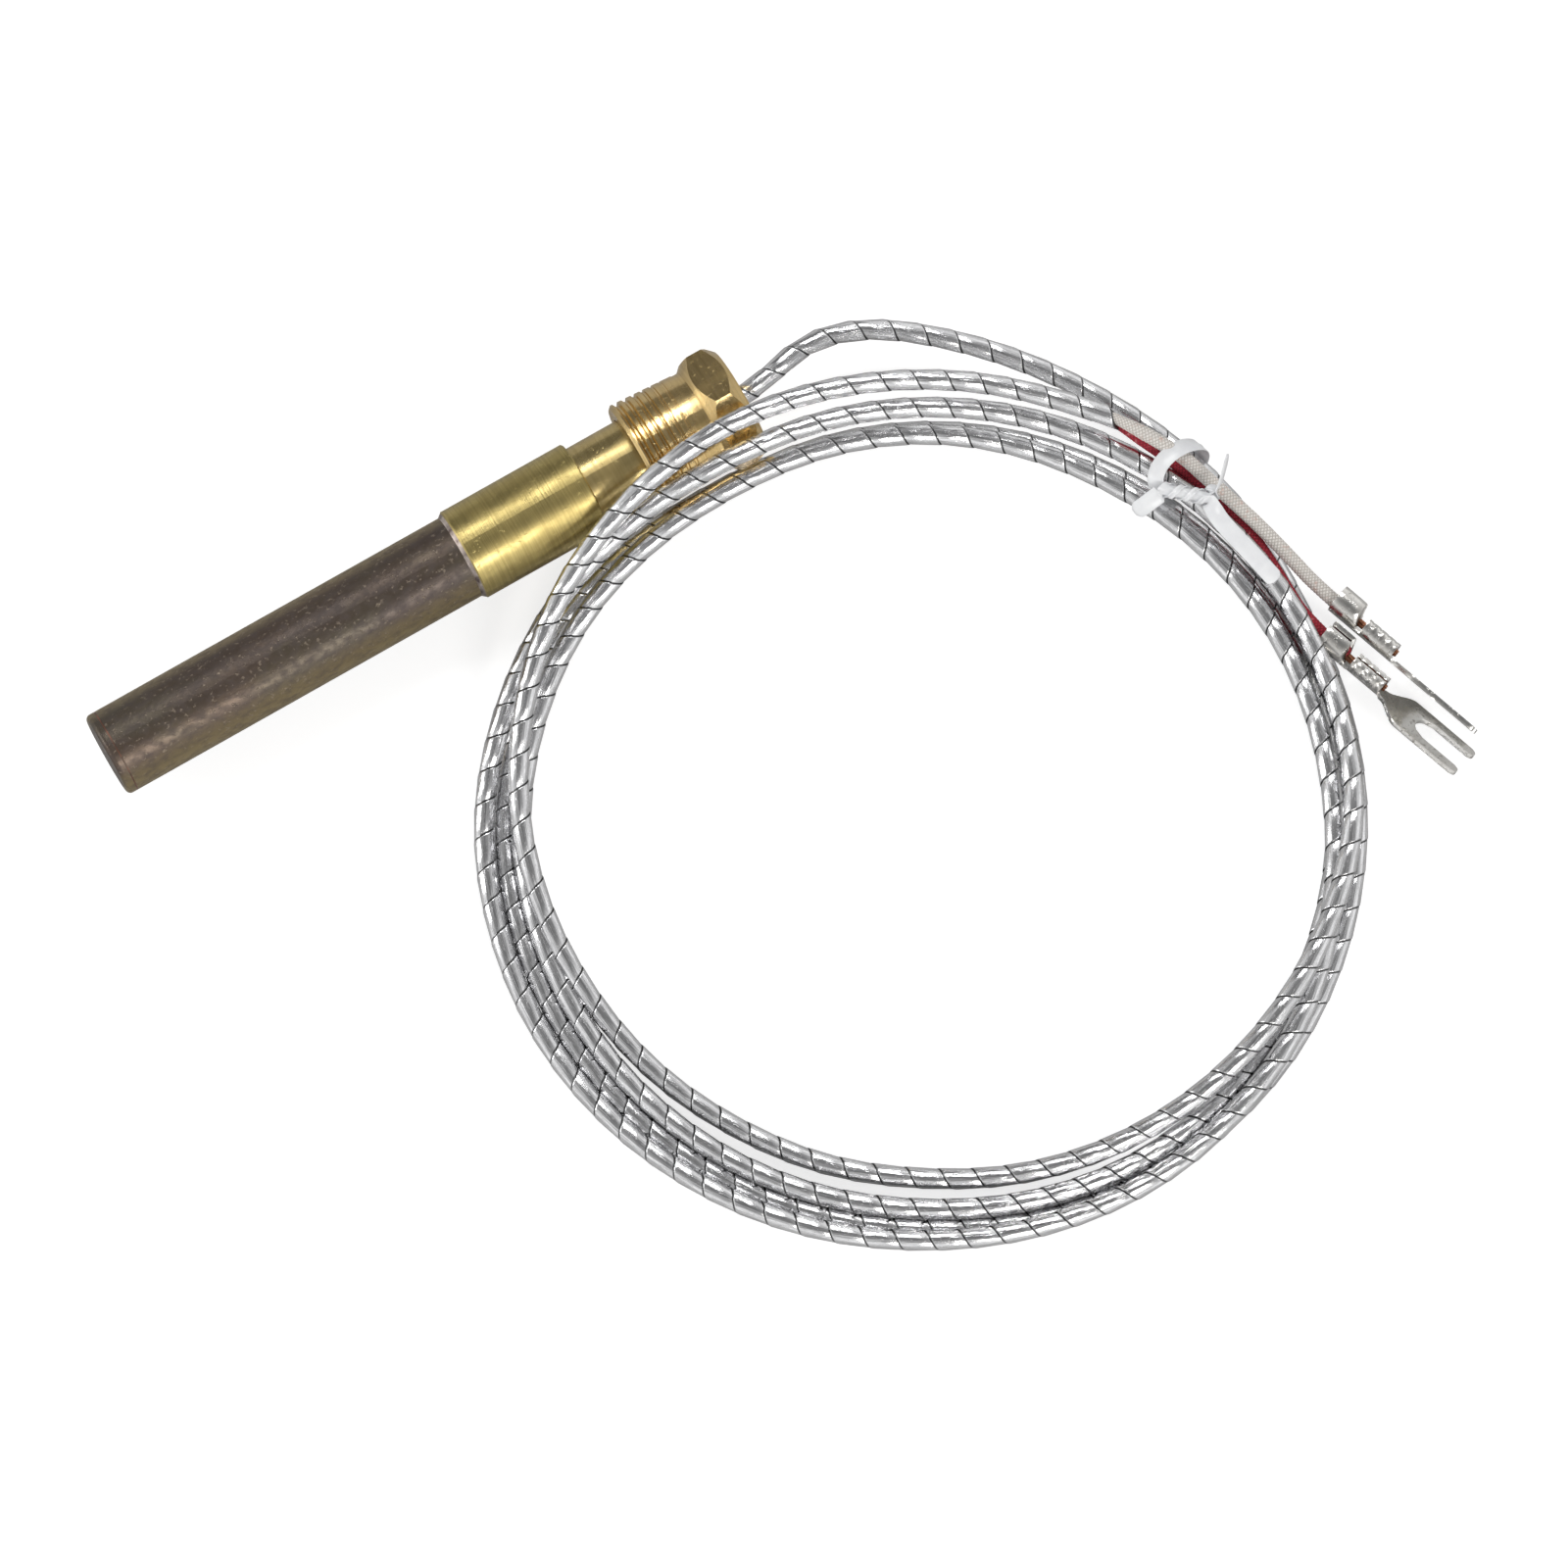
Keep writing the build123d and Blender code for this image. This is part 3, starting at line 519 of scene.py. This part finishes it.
def close_ends(piece, inset, depth):
    """Close the open ends of a tube with caps sunk a little below the rim."""
    shell = bmesh.new()
    shell.from_mesh(piece.data)
    rims = [edge for edge in shell.edges if edge.is_boundary]
    caps = bmesh.ops.holes_fill(shell, edges=rims, sides=0)["faces"]
    shell.normal_update()
    if depth:
        for cap in list(caps):
            out = cap.normal.copy()
            bmesh.ops.inset_region(shell, faces=[cap], thickness=inset, use_even_offset=False)
            bmesh.ops.translate(shell, verts=list(cap.verts), vec=-out * depth)
    bmesh.ops.recalc_face_normals(shell, faces=shell.faces[:])
    shell.to_mesh(piece.data)
    shell.free()


armour_points = [point for row in armour_rows for point in row]
armoured_lead = mesh_piece("armoured_lead", armour_points, armour_faces, armour_marks)
close_ends(armoured_lead, 0.12 * MM, 0.9 * MM)

# Bright strip with rolling marks along it, dull spots, and painted shade, near black, in the
# crease where one wind meets the next
SEAM_SHADE_EDGE = (0.012, 0.048)
steel, tree, shader = new_material("wound_steel_strip")
marks = add_node(tree, "ShaderNodeUVMap", uv_map="along")
place = tree.nodes.new("ShaderNodeSeparateXYZ")
tree.links.new(marks.outputs[0], place.inputs[0])
across_strip = add_node(tree, "ShaderNodeMath", operation="SUBTRACT")
tree.links.new(place.outputs[0], across_strip.inputs[0])
tree.links.new(place.outputs[1], across_strip.inputs[1])
from_seam = add_node(tree, "ShaderNodeMath", {1: 0.5}, operation="PINGPONG")
tree.links.new(across_strip.outputs[0], from_seam.inputs[0])
seam_shade = add_node(
    tree,
    "ShaderNodeMapRange",
    {"From Min": SEAM_SHADE_EDGE[0], "From Max": SEAM_SHADE_EDGE[1], "To Min": 1.0, "To Max": 0.0},
)
tree.links.new(from_seam.outputs[0], seam_shade.inputs["Value"])


def strip_noise(waves_along, waves_round, low, high):
    """A mask that follows the lead."""
    stretch = (waves_along, waves_round, 1)
    scaled = add_node(tree, "ShaderNodeVectorMath", {1: stretch}, operation="MULTIPLY")
    noise = add_node(tree, "ShaderNodeTexNoise", {"Scale": 1.0, "Detail": 5.0})
    cut = add_node(tree, "ShaderNodeMapRange", {"From Min": low, "From Max": high})
    tree.links.new(marks.outputs[0], scaled.inputs[0])
    tree.links.new(scaled.outputs[0], noise.inputs["Vector"])
    tree.links.new(noise.outputs[0], cut.inputs["Value"])
    return cut.outputs[0]


rolling = strip_noise(0.9, 30.0, 0.40, 0.60)
dull_spots = strip_noise(7.0, 34.0, 0.52, 0.68)
wavy = strip_noise(0.5, 10.0, 0.30, 0.70)
rolled = between(tree, rolling, 0.0, 0.55)
colour = mix_colours(tree, rolled, (0.88, 0.88, 0.89), (0.56, 0.56, 0.57))
colour = mix_colours(tree, between(tree, dull_spots, 0.0, 0.35), colour, (0.40, 0.40, 0.41))
# Painted shade: the crease where one wind meets the next is painted near black
colour = mix_colours(tree, seam_shade.outputs[0], colour, (0.03, 0.03, 0.03))
tree.links.new(colour, shader.inputs["Base Color"])
shader.inputs["Metallic"].default_value = 1.0
tree.links.new(between(tree, dull_spots, 0.16, 0.34), shader.inputs["Roughness"])
raise_grain(tree, shader, wavy, 0.05, 0.35)
raise_grain(tree, shader, rolling, 0.012)
armoured_lead.data.materials.append(steel)
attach(armoured_lead, "probe")
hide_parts("armour_lead", "armour_coil")

# The two wires: stranded copper in braided glass sleeving, one off-white and one red. They
# come out of the armour side by side and run down the bundle to their terminals.
WIRE_RADIUS = 0.74 * MM
WIRE_SIDES = 32
WIRE_STEP = 0.12 * MM
BRAID_ENDS = 8
BRAID_LAY = 3.2 * MM
BRAID_DEPTH = 0.06 * MM
TERMINALS = {
    "white": ((80.0, -48.2, 3.0), -71.0, 80.0),
    "red": ((77.1, -50.8, 3.4), -71.0, 46.0),
}
# Inside the armour's mouth the braid is squeezed thin, and it swells again once it is out
NARROWED = 0.62
SWELL_LENGTH = 4.5 * MM
TUCK = 1.4 * MM
TUCK_OFFSET = 0.47 * MM
STRAIGHT_BEFORE_GRIP = 2.5
GRIP_LENGTH = 3.2


def ahead(start, heading, distance):
    """The point this far in front of a terminal's start, in millimetres."""
    turned = radians(heading)
    return (start[0] + distance * cos(turned), start[1] + distance * sin(turned), start[2])


def wire_route(colour_name, free_points):
    """The free stretch, then straight into the terminal's grip."""
    start, heading, _ = TERMINALS[colour_name]
    inside = [ahead(start, heading, -STRAIGHT_BEFORE_GRIP), ahead(start, heading, GRIP_LENGTH)]
    return list(free_points) + inside


def braided_tube(name, line):
    """A tube whose surface weaves two sets of strands over and under each other."""
    rows = int(line.length / WIRE_STEP)
    vertices, faces, marks = [], [], []
    for n in range(rows + 1):
        distance = line.length * n / rows
        centre, side, upward = line.at(distance)
        swell = min(NARROWED + (1 - NARROWED) * distance / SWELL_LENGTH, 1)
        for m in range(WIRE_SIDES):
            angle = 2 * pi * m / WIRE_SIDES
            lay = 2 * pi * distance / BRAID_LAY
            weave = sin(BRAID_ENDS / 2 * (angle + lay)) * sin(BRAID_ENDS / 2 * (angle - lay))
            radius = WIRE_RADIUS * swell + BRAID_DEPTH * (abs(weave) - 0.5)
            vertices.append(centre + (side * cos(angle) + upward * sin(angle)) * radius)
    for n in range(rows):
        for m in range(WIRE_SIDES):
            next_m = (m + 1) % WIRE_SIDES
            low, high = n * WIRE_SIDES, (n + 1) * WIRE_SIDES
            faces.append((low + m, low + next_m, high + next_m, high + m))
            ends = ((n, m), (n, m + 1), (n + 1, m + 1), (n + 1, m))
            marks += [(a * WIRE_STEP / MM, b / WIRE_SIDES) for a, b in ends]
    made = mesh_piece(name, vertices, faces, marks)
    close_ends(made, 0, 0)
    return made


def braid_finish(name, light, dark, fleck):
    """Glass braid: paler where a strand comes up and darker in the hollows of the weave, a painted
    shade, flecked with stray coloured fibres.
    """
    made, tree, shader = new_material(name)
    marks = add_node(tree, "ShaderNodeUVMap", uv_map="along")
    split = tree.nodes.new("ShaderNodeSeparateXYZ")
    tree.links.new(marks.outputs[0], split.inputs[0])
    waves = []
    for hand in (1, -1):
        turn_part = add_node(tree, "ShaderNodeMath", {1: BRAID_ENDS * pi}, operation="MULTIPLY")
        tree.links.new(split.outputs[1], turn_part.inputs[0])
        lay_waves = hand * BRAID_ENDS * pi * MM / BRAID_LAY
        lay_part = add_node(tree, "ShaderNodeMath", {1: lay_waves}, operation="MULTIPLY_ADD")
        tree.links.new(split.outputs[0], lay_part.inputs[0])
        tree.links.new(turn_part.outputs[0], lay_part.inputs[2])
        wave = add_node(tree, "ShaderNodeMath", operation="SINE")
        tree.links.new(lay_part.outputs[0], wave.inputs[0])
        waves.append(wave)
    product = add_node(tree, "ShaderNodeMath", operation="MULTIPLY")
    tree.links.new(waves[0].outputs[0], product.inputs[0])
    tree.links.new(waves[1].outputs[0], product.inputs[1])
    height = add_node(tree, "ShaderNodeMath", operation="ABSOLUTE")
    tree.links.new(product.outputs[0], height.inputs[0])
    fuzz = grain(tree, (2600.0, 2600.0, 2600.0), 0.3, 0.7)
    flecks = grain(tree, (1500.0, 1500.0, 1500.0), 0.60, 0.68)
    # Painted shade: the hollows of the weave take the dark colour and the crests the light one
    colour = mix_colours(tree, height.outputs[0], dark, light)
    colour = mix_colours(tree, between(tree, fuzz, 0.0, 0.25), colour, dark)
    colour = mix_colours(tree, between(tree, flecks, 0.0, 0.6), colour, fleck)
    tree.links.new(colour, shader.inputs["Base Color"])
    shader.inputs["Roughness"].default_value = 0.85
    raise_grain(tree, shader, height.outputs[0], 0.06)
    raise_grain(tree, shader, fuzz, 0.02)
    return made


tucked, _, _ = armour_line.at(armour_line.length - TUCK)
white_line = Track(spline_points("white", wire_route("white", (
    (tucked + UP * TUCK_OFFSET) / MM,
    (72.9, -26.4, 8.5),
    (75.0, -32.0, 6.5),
    (76.8, -37.0, 5.3),
    (78.2, -41.8, 4.0),
)), 12))
white_wire = braided_tube("white_braided_wire", white_line)
white_wire.data.materials.append(
    braid_finish("white_glass_braid", (0.92, 0.89, 0.85), (0.52, 0.48, 0.44), (0.62, 0.42, 0.36))
)
red_line = Track(spline_points("red", wire_route("red", (
    (tucked - UP * TUCK_OFFSET) / MM,
    (72.3, -26.7, 7.1),
    (74.3, -32.2, 5.1),
    (76.0, -37.3, 3.9),
    (76.3, -43.0, 3.4),
)), 12))
red_wire = braided_tube("red_braided_wire", red_line)
red_wire.data.materials.append(
    braid_finish("red_glass_braid", (0.50, 0.028, 0.05), (0.20, 0.010, 0.02), (0.62, 0.22, 0.22))
)

# The fork terminals: each is one nickel-plated blank, stamped flat, then rolled round the
# braid at its tail and crimped over the copper strands in front of it.
SHEET = 0.5
FLOOR_DROP = 0.85
GRIP_RADIUS = 1.38
BARREL_RADIUS = 0.95
BARREL_START = 4.1
BARREL_END = 8.1
NECK_HALF = 0.62
SHOULDER_END = 11.6
FORK_HALF = 2.8
SLOT_HALF = 1.6
SLOT_BOTTOM = 14.6
FORK_END = 19.6
BLADE_START = 8.4
TIP_START = 17.8
GRIP_WING = 2.72
BARREL_WING = 2.62
NECK_CURVE = 0.7
CURL_FROM = 2.1
CURL_RADIUS = 0.33
PAST_ANY_WING = 9.0
CREASE = 0.10
TOOTH_PITCH = 0.25
BLANK_ROWS = (
    [GRIP_LENGTH * k / 6 for k in range(7)]
    + [3.5, 3.8]
    + [BARREL_START + (BARREL_END - BARREL_START) * k / 16 for k in range(17)]
    + [BLADE_START, 8.8, 9.2, 9.6, 10.0, 10.4, 10.8, 11.2, SHOULDER_END]
    + [12.4, 13.2, 13.9, SLOT_BOTTOM]
    + [15.6, 16.7, TIP_START, 18.5, 19.0, 19.3, 19.5, FORK_END]
)
CORE_COLUMNS = 9
WING_COLUMNS = 6


def blank_point(x, core_share, wing_share, hand):
    """Where a point of the flat blank ends up once the terminal is formed."""
    in_grip = x <= GRIP_LENGTH
    in_barrel = BARREL_START <= x <= BARREL_END
    in_blade = x > BARREL_END + 0.2
    core_half = NECK_HALF
    if in_blade:
        flare = max(min((x - BLADE_START) / (SHOULDER_END - BLADE_START), 1), 0)
        flare = flare * flare * (3 - 2 * flare)
        core_half += (SLOT_HALF - NECK_HALF) * flare
    wing_half = core_half
    if in_grip:
        wing_half = GRIP_WING * GRIP_RADIUS
    if in_barrel:
        wing_half = BARREL_WING
    if in_blade:
        wing_half = core_half + (FORK_HALF - SLOT_HALF) * max(flare, 0.08)
    spread = core_share * core_half + hand * wing_share * (wing_half - core_half)
    if x >= SLOT_BOTTOM and wing_share == 0 and abs(core_share) < 1:
        spread = core_share * SLOT_HALF
    if x > SHOULDER_END:
        in_slot = wing_share == 0
        rounded = sqrt(max(SLOT_HALF**2 - (core_share * SLOT_HALF) ** 2, 0)) if in_slot else 0
        share = min((x - SHOULDER_END) / (SLOT_BOTTOM - SHOULDER_END), 1)
        x = x - rounded * share
        tine = (FORK_HALF - SLOT_HALF) / 2
        off = abs(spread) - SLOT_HALF - tine
        tip = tine - sqrt(max(tine**2 - off**2, 0)) if abs(spread) >= SLOT_HALF else 0
        x = x - tip * max((x - TIP_START) / (FORK_END - TIP_START), 0)
    if in_blade:
        return x, spread, -FLOOR_DROP
    curve = 1 / GRIP_RADIUS if in_grip else 1 / BARREL_RADIUS if in_barrel else NECK_CURVE
    tip_from = CURL_FROM * BARREL_RADIUS if in_barrel else PAST_ANY_WING
    y, z, angle = 0.0, -FLOOR_DROP, 0.0
    pieces = 40
    reach = abs(spread) / pieces
    for k in range(pieces):
        bend = curve if (k + 0.5) * reach < tip_from else 1 / CURL_RADIUS
        angle += bend * reach
        y += cos(angle) * reach
        z += sin(angle) * reach
    return x, y if spread >= 0 else -y, z


def creased(x, y, z):
    """The die's teeth press grooves across the barrel."""
    if not BARREL_START < x < BARREL_END or z < -0.2:
        return x, y, z
    tooth = round((x - BARREL_START) / TOOTH_PITCH) % 4 == 2
    scale = 1 - (CREASE if tooth else 0) / BARREL_RADIUS
    return x, y * scale, z * scale


def fork_terminal(name, start, heading, roll):
    """Stamp the blank, form it, give it its thickness and put it on its wire."""
    columns = CORE_COLUMNS + 2 * WING_COLUMNS
    bpy.ops.object.select_all(action="DESELECT")
    bpy.ops.mesh.primitive_grid_add(
        x_subdivisions=len(BLANK_ROWS) - 1, y_subdivisions=columns - 1, size=2
    )
    made = bpy.context.object
    made.name = name
    turned, lean = radians(heading), radians(roll)
    run = Vector((cos(turned), sin(turned), 0))
    upward = Vector((-sin(lean) * sin(turned), sin(lean) * cos(turned), cos(lean)))
    side = upward.cross(run)
    sheet = bmesh.new()
    sheet.from_mesh(made.data)
    cells = {}
    for vertex in sheet.verts:
        row = round((vertex.co.x + 1) / 2 * (len(BLANK_ROWS) - 1))
        column = round((vertex.co.y + 1) / 2 * (columns - 1))
        cells[vertex] = (row, column)
    spare = []
    for face in sheet.faces:
        rows = [cells[v][0] for v in face.verts]
        places = [cells[v][1] for v in face.verts]
        low, high = BLANK_ROWS[min(rows)], BLANK_ROWS[max(rows)]
        in_wing = max(places) <= WING_COLUMNS or min(places) >= WING_COLUMNS + CORE_COLUMNS - 1
        between_wings = low >= GRIP_LENGTH and high <= BARREL_START
        past_barrel = low >= BARREL_END and high <= BLADE_START
        if in_wing and (between_wings or past_barrel):
            spare.append(face)
        elif not in_wing and low >= SLOT_BOTTOM:
            spare.append(face)
    bmesh.ops.delete(sheet, geom=spare, context="FACES")
    for vertex in sheet.verts:
        row, column = cells[vertex]
        core = min(max(column - WING_COLUMNS, 0), CORE_COLUMNS - 1)
        core_share = core / (CORE_COLUMNS - 1) * 2 - 1
        past_core = max(WING_COLUMNS - column, column - WING_COLUMNS - CORE_COLUMNS + 1, 0)
        wing_share = past_core / WING_COLUMNS
        hand = -1 if column < columns / 2 else 1
        x, y, z = creased(*blank_point(BLANK_ROWS[row], core_share, wing_share, hand))
        vertex.co = Vector(start) * MM + (run * x + side * y + upward * z) * MM
    sheet.normal_update()
    sheet.to_mesh(made.data)
    sheet.free()
    plate = made.modifiers.new("sheet", "SOLIDIFY")
    plate.thickness = SHEET * MM
    plate.offset = 0
    edges = made.modifiers.new("edges", "BEVEL")
    edges.width = 0.06 * MM
    edges.segments = 2
    edges.limit_method = "ANGLE"
    edges.angle_limit = radians(50)
    bpy.context.view_layer.objects.active = made
    made.select_set(True)
    bpy.ops.object.modifier_apply(modifier="sheet")
    bpy.ops.object.modifier_apply(modifier="edges")
    bpy.ops.object.shade_smooth_by_angle(angle=radians(35))
    bpy.ops.object.mode_set(mode="EDIT")
    bpy.ops.mesh.select_all(action="SELECT")
    bpy.ops.mesh.normals_make_consistent(inside=False)
    bpy.ops.object.mode_set(mode="OBJECT")
    return made


def strand_bundle(name, start, heading):
    """Seven copper strands laid together, from the grip through the barrel."""
    turned = radians(heading)
    run = Vector((cos(turned), sin(turned), 0))
    side = Vector((-sin(turned), cos(turned), 0))
    strand_radius, sides, rows = 0.14, 10, 30
    first, length = GRIP_LENGTH - 0.4, 5.6
    vertices, faces = [], []
    for strand in range(7):
        base = len(vertices)
        offset = 2 * strand_radius if strand else 0
        for n in range(rows + 1):
            lay = strand * pi / 3 + n / rows * 2.0
            radius = strand_radius * (0.6 if n in (0, rows) else 1)
            for m in range(sides):
                angle = 2 * pi * m / sides
                y = offset * cos(lay) + radius * cos(angle)
                z = offset * sin(lay) + radius * sin(angle)
                shift = run * (first + length * n / rows) + side * y + UP * z
                vertices.append((Vector(start) + shift) * MM)
        for n in range(rows):
            for m in range(sides):
                low, high = base + n * sides, base + (n + 1) * sides
                faces.append((low + m, low + (m + 1) % sides, high + (m + 1) % sides, high + m))
    made = mesh_piece(name, vertices, faces)
    close_ends(made, 0, 0)
    return made


nickel, tree, shader = new_material("nickel_plate")
smears = grain(tree, (500.0, 500.0, 500.0), 0.40, 0.66)
pits = grain(tree, (2400.0, 2400.0, 2400.0), 0.60, 0.70)
colour = mix_colours(tree, between(tree, smears, 0.0, 0.5), (0.80, 0.79, 0.76), (0.56, 0.53, 0.49))
colour = mix_colours(tree, between(tree, pits, 0.0, 0.6), colour, (0.16, 0.14, 0.12))
tree.links.new(colour, shader.inputs["Base Color"])
shader.inputs["Metallic"].default_value = 1.0
tree.links.new(between(tree, smears, 0.16, 0.34), shader.inputs["Roughness"])
raise_grain(tree, shader, pits, 0.015)
raise_grain(tree, shader, smears, 0.02)
copper = dull_finish(
    "copper_strands", (0.14, 0.055, 0.03), (0.46, 0.21, 0.12), 1.0, 0.28, (1200.0, 1200.0, 1200.0)
)
ends = {}
for colour_name, (start, heading, roll) in TERMINALS.items():
    terminal = fork_terminal(colour_name + "_fork_terminal", start, heading, roll)
    terminal.data.materials.append(nickel)
    strands = strand_bundle(colour_name + "_copper_strands", start, heading)
    strands.data.materials.append(copper)
    for piece, slot_name, node_name in (
        (terminal, "nickel_plate", colour_name + "_terminal"),
        (strands, "copper_strands", colour_name + "_conductor"),
    ):
        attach(piece, "probe")
        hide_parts(node_name)
    ends[colour_name] = [terminal, strands]

for piece, line, slot_name, node_name, length in (
    (white_wire, white_line, "white_braid", "white_wire", 0.034),
    (red_wire, red_line, "red_sleeve", "red_wire", 0.0355),
):
    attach(piece, "probe")
    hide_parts(node_name)

# The tie: a strip of white plastic with a soft wire down its middle. It goes once round the
# lead, the wires and one strand of the coil, and its ends are twisted together on top.
TIE_HALF = 0.95
TIE_EDGE = 0.06
TIE_RIB = 0.14
TIE_PROFILE = ((-1, 0), (-0.92, 1), (-0.35, 1), (0, 2), (0.35, 1), (0.92, 1), (1, 0))


def beside(radius, angle, height):
    """A point by its distance and direction from the middle of the coil, and its height."""
    turned = radians(angle)
    x = COIL_CENTRE[0] + radius * cos(turned)
    y = COIL_CENTRE[1] + radius * sin(turned)
    return Vector((x, y, height))


def ribbon(name, points, faces_to, half_width, rounded=3):
    """A flat strip along points, its face turned towards the matching vectors."""
    vertices, faces = [], []
    ring = [(across, 1) for across in TIE_PROFILE]
    ring += [(across, -1) for across in TIE_PROFILE[-2:0:-1]]
    total = len(points) - 1
    for n, point in enumerate(points):
        along_path = (points[min(n + 1, total)] - points[max(n - 1, 0)]).normalized()
        normal = (faces_to[n] - along_path * faces_to[n].dot(along_path)).normalized()
        sideways = along_path.cross(normal)
        from_end = min(n, total - n)
        width = half_width
        if from_end < rounded:
            width *= sqrt(1 - (1 - (from_end + 0.3) / rounded) ** 2)
        for (share, level), side in ring:
            depth = (0, TIE_EDGE, TIE_RIB)[level] * side
            vertices.append((point + sideways * share * width + normal * depth) * MM)
    count = len(ring)
    for n in range(total):
        for m in range(count):
            low, high = n * count, (n + 1) * count
            faces.append((low + m, low + (m + 1) % count, high + (m + 1) % count, high + m))
    made = mesh_piece(name, vertices, faces)
    close_ends(made, 0, 0)
    return made


def smooth_points(controls, resolution):
    """Points of a smooth line, in millimetres."""
    return [point / MM for point in spline_points("tie", controls, resolution)]


loop_controls = [
    beside(40.9, 22.6, 8.5),
    beside(40.7, 23.7, 8.9),
    beside(41.6, 24.9, 9.3),
    beside(43.6, 25.2, 9.4),
    beside(45.9, 24.2, 9.0),
    beside(47.6, 23.0, 6.4),
    beside(48.1, 22.5, 2.4),
    beside(46.4, 22.3, 0.2),
    beside(43.9, 22.3, 1.8),
    beside(41.4, 22.4, 4.6),
    beside(40.9, 22.6, 7.2),
    beside(41.3, 22.3, 8.9),
]
loop_points = smooth_points(loop_controls, 6)
loop_middle = beside(44.4, 23.2, 5.0)
loop_facings = [point - loop_middle for point in loop_points]
loop_band = ribbon("tie_loop", loop_points, loop_facings, TIE_HALF)
knot_from, knot_to = beside(40.9, 22.9, 9.1), beside(43.3, 17.0, 9.2)
KNOT_TURNS = 1.6
KNOT_STEPS = 48
KNOT_RADIUS = 0.42
LAY_DOWN_STEPS = 6
knot_way = (knot_to - knot_from).normalized()
knot_side = knot_way.cross(UP).normalized()
knot_up = knot_side.cross(knot_way)
tails = (
    ([Vector((66.3, -30.6, 7.6)), Vector((67.2, -30.7, 8.5)), Vector((68.4, -30.6, 9.0))],
     [Vector((74.5, -33.2, 9.7)), Vector((75.6, -32.4, 10.2)), Vector((77.2, -30.7, 10.9))]),
    ([beside(41.6, 22.6, 8.6)],
     [Vector((73.2, -35.0, 8.9)), Vector((73.7, -37.4, 8.1)), Vector((74.6, -40.4, 7.2)),
      Vector((75.2, -42.8, 6.4)), Vector((75.5, -43.8, 6.2))]),
)
twisted = []
for number, (before, after) in enumerate(tails):
    centres, outward = [], []
    for n in range(KNOT_STEPS + 1):
        share = n / KNOT_STEPS
        phase = 2 * pi * KNOT_TURNS * share + number * pi
        out = knot_side * cos(phase) + knot_up * sin(phase)
        centres.append(knot_from.lerp(knot_to, share) + out * KNOT_RADIUS)
        outward.append(out)
    lead_in = smooth_points(before + [centres[0]], 6)[:-1] if len(before) > 1 else list(before)
    lead_out = smooth_points([centres[-1]] + after, 8)[1:]
    lay_flat = UP if number else Vector((0.86, -0.51, 0.25))
    points = lead_in + centres + lead_out
    facings = [outward[0].lerp(UP, 0.7)] * len(lead_in) + outward + [
        outward[-1].lerp(lay_flat, min(k / LAY_DOWN_STEPS, 1)) for k in range(len(lead_out))
    ]
    twisted.append(ribbon("tie_end_" + str(number + 1), points, facings, TIE_HALF))
bpy.ops.object.select_all(action="DESELECT")
for piece in twisted + [loop_band]:
    piece.select_set(True)
bpy.context.view_layer.objects.active = loop_band
bpy.ops.object.join()
tie = bpy.context.object
tie.name = "twist_tie"
plastic, tree, shader = new_material("tie_plastic")
clouds = grain(tree, (420.0, 420.0, 420.0), 0.35, 0.65)
scuffs = grain(tree, (2200.0, 2200.0, 700.0), 0.55, 0.75)
colour = mix_colours(tree, clouds, (0.88, 0.89, 0.90), (0.78, 0.79, 0.81))
tree.links.new(colour, shader.inputs["Base Color"])
tree.links.new(between(tree, scuffs, 0.28, 0.5), shader.inputs["Roughness"])
raise_grain(tree, shader, scuffs, 0.01)
tie.data.materials.append(plastic)
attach(tie, "probe")
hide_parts("tie_strap")
